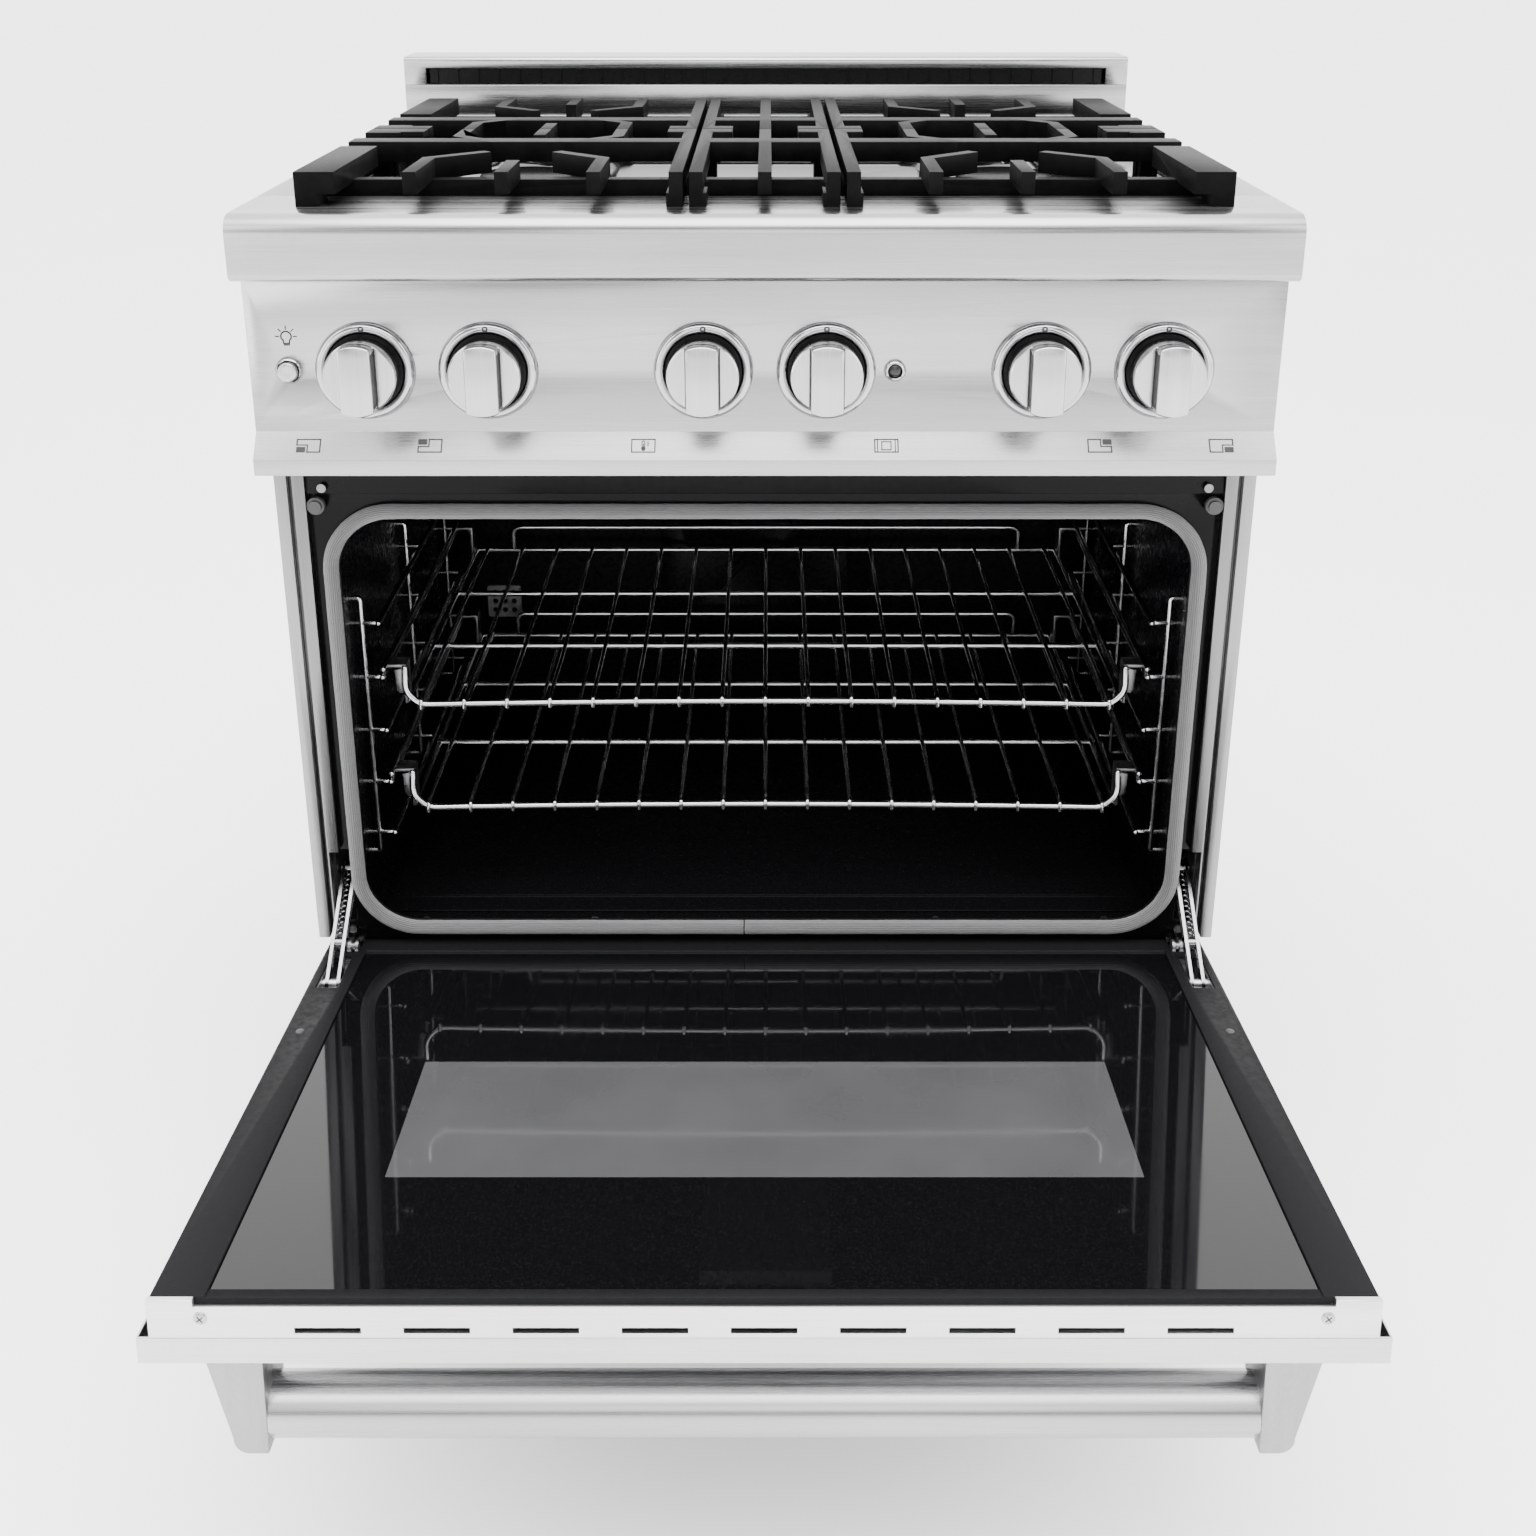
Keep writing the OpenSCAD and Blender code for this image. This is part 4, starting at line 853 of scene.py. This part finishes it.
def rack_frame(wires, deck_z, runner_z):
    """Runners, side wires, back stop, front wire and cross wires."""
    for side in (-1, 1):
        wires.tube(bent([(side * RUNNER_X, RACK_FRONT, runner_z),
                         (side * RUNNER_X, RACK_REAR - 6, runner_z)], 1.0), 2.5)
        wires.tube(bent([(side * DECK_X, RACK_FRONT + 9, deck_z),
                         (side * DECK_X, RACK_REAR, deck_z)], 1.0), 2.6)
        wires.tube(bent([(side * 264, RACK_REAR, deck_z), (side * 264, RACK_REAR, deck_z + 25),
                         (0, RACK_REAR, deck_z + 25)], 9.0), 2.5)
    turn_up = [(DECK_X - 12, RACK_FRONT, deck_z), (DECK_X, RACK_FRONT, deck_z + 12),
               (DECK_X, RACK_FRONT + 4, runner_z - 1)]
    front = [(-x, y, z) for x, y, z in reversed(turn_up)]
    front += [(x, RACK_FRONT, deck_z + deck_rise(x)) for x in range(-270, 271, 30)]
    wires.tube(bent(front + turn_up, 8.0), 2.8, 16)
    for share in (0.33, 0.67, 1.0):
        y = RACK_FRONT + (RACK_REAR - RACK_FRONT) * share
        wires.tube([(-DECK_X - 2, y, deck_z), (0, y, deck_z), (DECK_X + 2, y, deck_z)], 2.8)


def rack_shape(deck_z, runner_z):
    wires = Shape()
    rack_frame(wires, deck_z, runner_z)
    for i in range(DECK_WIRES):
        x = -DECK_REACH + i * 2 * DECK_REACH / (DECK_WIRES - 1)
        z = deck_z + 4 + deck_rise(x)
        # hooked over the front wire, level along the deck, hooked over the back wire
        wires.tube(bent([(x, RACK_FRONT - 1.6, z - 7.0), (x, RACK_FRONT - 1.8, z - 0.4),
                         (x, RACK_FRONT + 12, z + 0.5), (x, RACK_FRONT + 90, deck_z + 4.2),
                         (x, RACK_REAR - 3, deck_z + 4), (x, RACK_REAR + 1.6, deck_z + 1.0),
                         (x, RACK_REAR + 1.8, deck_z - 3)], 4.0), 2.0, 10)
    return wires


def rack_hooks(deck_z, runner_z):
    """The pressed plates that carry the deck from the runners."""
    plates = Shape()
    for side in (-1, 1):
        hanger = [(DECK_X - 1, runner_z + 1.4), (RUNNER_X + 1.5, runner_z + 1.4),
                  (RUNNER_X + 1.5, runner_z - 1.4), (DECK_X + 5, runner_z - 1.4),
                  (DECK_X + 2, runner_z - 5), (DECK_X + 2, deck_z - 2), (DECK_X - 1, deck_z - 2)]
        ear = [(DECK_X + 1, runner_z - 1), (DECK_X + 9, runner_z - 2.5), (DECK_X + 8, deck_z + 11),
               (DECK_X + 5, deck_z + 8), (DECK_X - 1, deck_z + 10)]
        for y in (RACK_FRONT + 6, RACK_REAR - 26):
            plates.prism([(side * x, z) for x, z in hanger], y, y + HOOK_LONG)
        plates.prism([(side * x, z) for x, z in ear], RACK_FRONT + 4, RACK_FRONT + 6)
    return plates


for node, level in RACK_LEVEL.items():
    heights = level - RACK_DROP, level + RUNNER_LIFT
    piece("look_" + node, rack_shape(*heights), node, "wire", (node,), smooth=60.0)
    piece("hooks_" + node, rack_hooks(*heights), node, "hook", bevel=0.0005)

GUIDE_UPRIGHTS = (55.0, 235.0, 415.0)
WALL_X, UPRIGHT_X = 340, 334
UPRIGHT_LOW, UPRIGHT_TOP = 345, 581

guides = Shape()
for side in (-1, 1):
    for y in GUIDE_UPRIGHTS:
        guides.tube(bent([(side * WALL_X, y, UPRIGHT_LOW), (side * UPRIGHT_X, y, UPRIGHT_LOW),
                          (side * UPRIGHT_X, y, UPRIGHT_TOP), (side * WALL_X, y, UPRIGHT_TOP)],
                         4.0), 2.4, domed=False)
    for z in GUIDE_LEVELS:
        guides.tube([(side * RUNNER_X, y, z) for y in (53.5, 235, 416.5)], 2.45)
        for y in GUIDE_UPRIGHTS:
            guides.tube([(side * x, y, z) for x in (RUNNER_X - 0.5, 327, 339.9)], 2.3)
piece("look_rack_guides", guides, "rack_guides", "wire", ("rack_guides",), smooth=60.0)


# ---------------------------------------------------------------- hinge links

LINK_SLANT = math.radians(36.9)
LINK_PIN_Y, LINK_PIN_Z = -51.5, 283.6      # the door pin that carries the link
LINK_LENGTH, LINK_WIDTH, LINK_SLOT = 103.0, 10.0, 4.2
LINK_PLATES = ((348.2, 350.8), (357.4, 360.0))
RIVETS_AT, RIVET_RADIUS = (34.0, 100.0), 4.4
SPRING_FROM, SPRING_LONG, SPRING_TURNS, SPRING_X = 40.0, 56.0, 12, 354.1
SPRING_RADIUS, SPRING_WIRE, SPRING_SQUASH, SPRING_STEPS = 3.1, 0.8, 0.8, 14


def on_link(a, b):
    """(y, z) of a point a along the link from its pin and b to its upper side."""
    c, s = math.cos(LINK_SLANT), math.sin(LINK_SLANT)
    return LINK_PIN_Y + a * c - b * s, LINK_PIN_Z + a * s + b * c


def stadium(start, end, r, steps=10):
    """A slot's outline between two centres."""
    out = []
    for centre, turn in ((start, 90), (end, -90)):
        for i in range(steps + 1):
            a = math.radians(turn + 180 * i / steps)
            out.append((centre + r * math.cos(a), r * math.sin(a)))
    return out


def link_shape(side):
    """Two slotted plates and the two rivets between them."""
    link = Shape()
    outer = stadium(0, LINK_LENGTH, LINK_WIDTH / 2)
    inner = stadium(15, LINK_LENGTH - 14, LINK_SLOT / 2)
    n = len(outer)
    for plate in LINK_PLATES:
        points = [(side * x, *on_link(a, b)) for x in plate for a, b in outer + inner]
        faces = []
        for k in range(n):
            m = (k + 1) % n
            faces += [(k, m, n + m, n + k), (2 * n + k, 2 * n + m, 3 * n + m, 3 * n + k),
                      (k, m, 2 * n + m, 2 * n + k), (n + k, n + m, 3 * n + m, 3 * n + k)]
        link.add(points, faces)
    for a in RIVETS_AT:
        link.tube([(side * x, *on_link(a, 0)) for x in (348.0, 354, 360.8)], RIVET_RADIUS, 16,
                  domed=False)
    return link


def spring_shape(side):
    """The pull spring between the plates."""
    coil = []
    for i in range(SPRING_TURNS * SPRING_STEPS + 1):
        turn = 2 * math.pi * i / SPRING_STEPS
        along_link = SPRING_FROM + SPRING_LONG * i / (SPRING_TURNS * SPRING_STEPS)
        x = SPRING_X + SPRING_RADIUS * math.cos(turn) * SPRING_SQUASH
        coil.append((side * x, *on_link(along_link, SPRING_RADIUS * math.sin(turn))))
    spring = Shape()
    spring.tube(coil, SPRING_WIRE, 8)
    return spring


for side, node in ((-1, "hinge_strut_left"), (1, "hinge_strut_right")):
    piece("look_" + node, link_shape(side), node, "strut", (node,))
    piece("spring_" + node, spring_shape(side), node, "strut", smooth=60.0)


# ---------------------------------------------------------------- door screws

END_SCREW_X, END_SCREW_Y = 338.8, -15.0    # in the bright channel on the door's upper end
SIDE_SCREW_X, SIDE_SCREW_Z = 358.0, 420.0  # in the liner's side flange
END_HEAD = [(4.2, 0.0), (4.2, 0.35), (3.6, 0.95), (2.5, 1.3), (0.8, 1.4)]
SIDE_HEAD = [(3.5, 0.0), (3.3, 0.3), (2.2, 0.55), (0.6, 0.58)]
CROSS_TURN = math.radians(38)


def on_door_end(x, y, z):
    """As on_door, with y and z changed over, for what is turned or drawn out along Z."""
    return on_door(x, z, y)


def cross_outline(cx, cy, half=0.42, arm=2.4):
    """The outline of a turned cross recess, drawn as a flat black mark that paints the recess's
    shade.
    """
    t, l = half, arm
    outline = [(t, t), (l, t), (l, -t), (t, -t), (t, -l), (-t, -l),
               (-t, -t), (-l, -t), (-l, t), (-t, t), (-t, l), (t, l)]
    c, s = math.cos(CROSS_TURN), math.sin(CROSS_TURN)
    return [(cx + a * c - b * s, cy + a * s + b * c) for a, b in outline]


heads, crosses, side_heads = Shape(on_door_end), Shape(on_door_end), Shape(on_door)
for side in (-1, 1):
    x = side * END_SCREW_X
    heads.lathe([(r, DOOR_TOP + out) for r, out in END_HEAD], x, END_SCREW_Y, 36)
    crosses.prism(cross_outline(x, END_SCREW_Y), DOOR_TOP + 1.2, DOOR_TOP + 1.47)
    side_heads.lathe([(r, PIVOT_Y + out) for r, out in SIDE_HEAD], side * SIDE_SCREW_X,
                     SIDE_SCREW_Z, 24)
piece("look_door_screws", heads, "door_screws", "zinc", ("door_screws",))
piece("door_side_screws", side_heads, "door_screws", "plastic")
# flat black crosses on the heads: painted shade of the cross recesses
piece("screw_crosses", crosses, "door_screws", "ink_and_painted_shade")


# ---------------------------------------------------------------- flue slot, its shade painted as a black strip with ribs

FLUE_HALF, FLUE_LOW, FLUE_TOP = 352, 946, 961
RIB_PITCH, RIB_HALF, RIBS_EACH_SIDE = 21.5, 0.6, 16

flue_shade = Shape()
flue_shade.slab(-FLUE_HALF, FLUE_HALF, FLUE_LOW, FLUE_TOP, 583.0, 585.0)
for k in range(-RIBS_EACH_SIDE, RIBS_EACH_SIDE + 1):
    x = k * RIB_PITCH
    flue_shade.slab(x - RIB_HALF, x + RIB_HALF, FLUE_LOW, FLUE_TOP, 581.2, 583.2)
# the strip and its ribs are drawn in the black that paints the shade inside the flue slot
piece("flue_slot_shade", flue_shade, "backguard_cap", "gap_shade_black")


# ---------------------------------------------------------------- camera

PICTURE_PX, FOCAL_PX, SENSOR = 1536, 1680, 36.0
CAMERA_AT = (2.3, -1225.0, 1112.0)
CAMERA_DOWN = 18.9                 # degrees below level
CAMERA_SHIFT = -0.18               # lets upright lines converge less

cam_data = bpy.data.cameras.new("photo_camera")
cam = bpy.data.objects.new("photo_camera", cam_data)
bpy.context.collection.objects.link(cam)
cam.location = at(*CAMERA_AT)
cam.rotation_euler = (math.radians(90 - CAMERA_DOWN), 0, 0)
cam_data.sensor_width = SENSOR
cam_data.lens = FOCAL_PX / PICTURE_PX * SENSOR
cam_data.shift_y = CAMERA_SHIFT
bpy.context.scene.camera = cam


# ---------------------------------------------------------------- floor

FLOOR_HALF = 60.0


def pale_floor():
    h = FLOOR_HALF
    mesh = bpy.data.meshes.new("floor")
    mesh.from_pydata([(-h, -h, 0.0), (h, -h, 0.0), (h, h, 0.0), (-h, h, 0.0)], [], [(0, 1, 2, 3)])
    obj = bpy.data.objects.new("floor", mesh)
    bpy.context.collection.objects.link(obj)
    m, nt, shader = new_material("floor", (0.90, 0.90, 0.90), 0.0, 0.75)
    tint(nt, shader, noise(nt, 2.0, 4.0, 0.5), (0.94, 0.94, 0.94), (0.96, 0.96, 0.96))
    mesh.materials.append(m)


pale_floor()


# ---------------------------------------------------------------- studio light

WORLD_LEVEL = 4.0
BAND_DARK, SIDE_DARK, OVERHEAD_EXTRA = 0.86, 0.55, 1.1

world = bpy.data.worlds.new("studio")
bpy.context.scene.world = world
world.use_nodes = True
wt = world.node_tree
background = wt.nodes["Background"]
background.inputs["Strength"].default_value = WORLD_LEVEL


def math_node(operation, *values):
    node = wt.nodes.new("ShaderNodeMath")
    node.operation = operation
    for socket, value in zip(node.inputs, values):
        if isinstance(value, float):
            socket.default_value = value
        else:
            wt.links.new(value, socket)
    return node.outputs[0]


def eased(value, start, end, first, last):
    """Goes smoothly from first to last while the value goes from start to end."""
    node = wt.nodes.new("ShaderNodeMapRange")
    node.interpolation_type = "SMOOTHSTEP"
    for key, number in (("From Min", start), ("From Max", end),
                        ("To Min", first), ("To Max", last)):
        node.inputs[key].default_value = number
    wt.links.new(value, node.inputs["Value"])
    return node.outputs["Result"]


# a light room with a darker band in front, above the horizon, and brighter overhead
coord = wt.nodes.new("ShaderNodeTexCoord")
split = wt.nodes.new("ShaderNodeSeparateXYZ")
wt.links.new(coord.outputs["Generated"], split.inputs[0])
to_x, to_y, to_z = split.outputs
in_front = eased(to_y, -0.25, 0.25, 1.0, 0.0)
above_floor = eased(to_z, 0.04, 0.12, 0.0, 1.0)
below_top = eased(to_z, 0.58, 0.72, 1.0, 0.0)
band = math_node("MULTIPLY", math_node("MULTIPLY", above_floor, below_top), in_front)
sides = eased(math_node("ABSOLUTE", to_x), 0.55, 0.85, 0.0, SIDE_DARK)
shade = math_node("MAXIMUM", math_node("MULTIPLY", band, BAND_DARK),
                  math_node("MULTIPLY", sides, in_front))
overhead = math_node("MULTIPLY", eased(to_z, 0.70, 0.84, 0.0, OVERHEAD_EXTRA), in_front)
level = math_node("ADD", math_node("SUBTRACT", 1.0, shade), overhead)
grey = wt.nodes.new("ShaderNodeCombineColor")
for socket in list(grey.inputs)[:3]:
    wt.links.new(level, socket)
wt.links.new(grey.outputs[0], background.inputs["Color"])


def softbox(name, location, target, width, height, power):
    data = bpy.data.lights.new(name, "AREA")
    data.shape = "RECTANGLE"
    data.size = width
    data.size_y = height
    data.energy = power
    obj = bpy.data.objects.new(name, data)
    bpy.context.collection.objects.link(obj)
    obj.location = location
    towards = Vector(target) - Vector(location)
    obj.rotation_euler = towards.to_track_quat("-Z", "Y").to_euler()


softbox("top_box", (0.0, -0.6, 3.0), (0, 0, 0.8), 2.6, 2.0, 90)
softbox("left_box", (-2.4, -1.6, 1.6), (0, 0, 0.7), 0.9, 2.2, 45)
softbox("right_box", (2.4, -1.6, 1.6), (0, 0, 0.7), 0.9, 2.2, 45)
softbox("front_fill", (0.0, -3.6, 1.9), (0, 0, 0.6), 2.4, 1.2, 40)
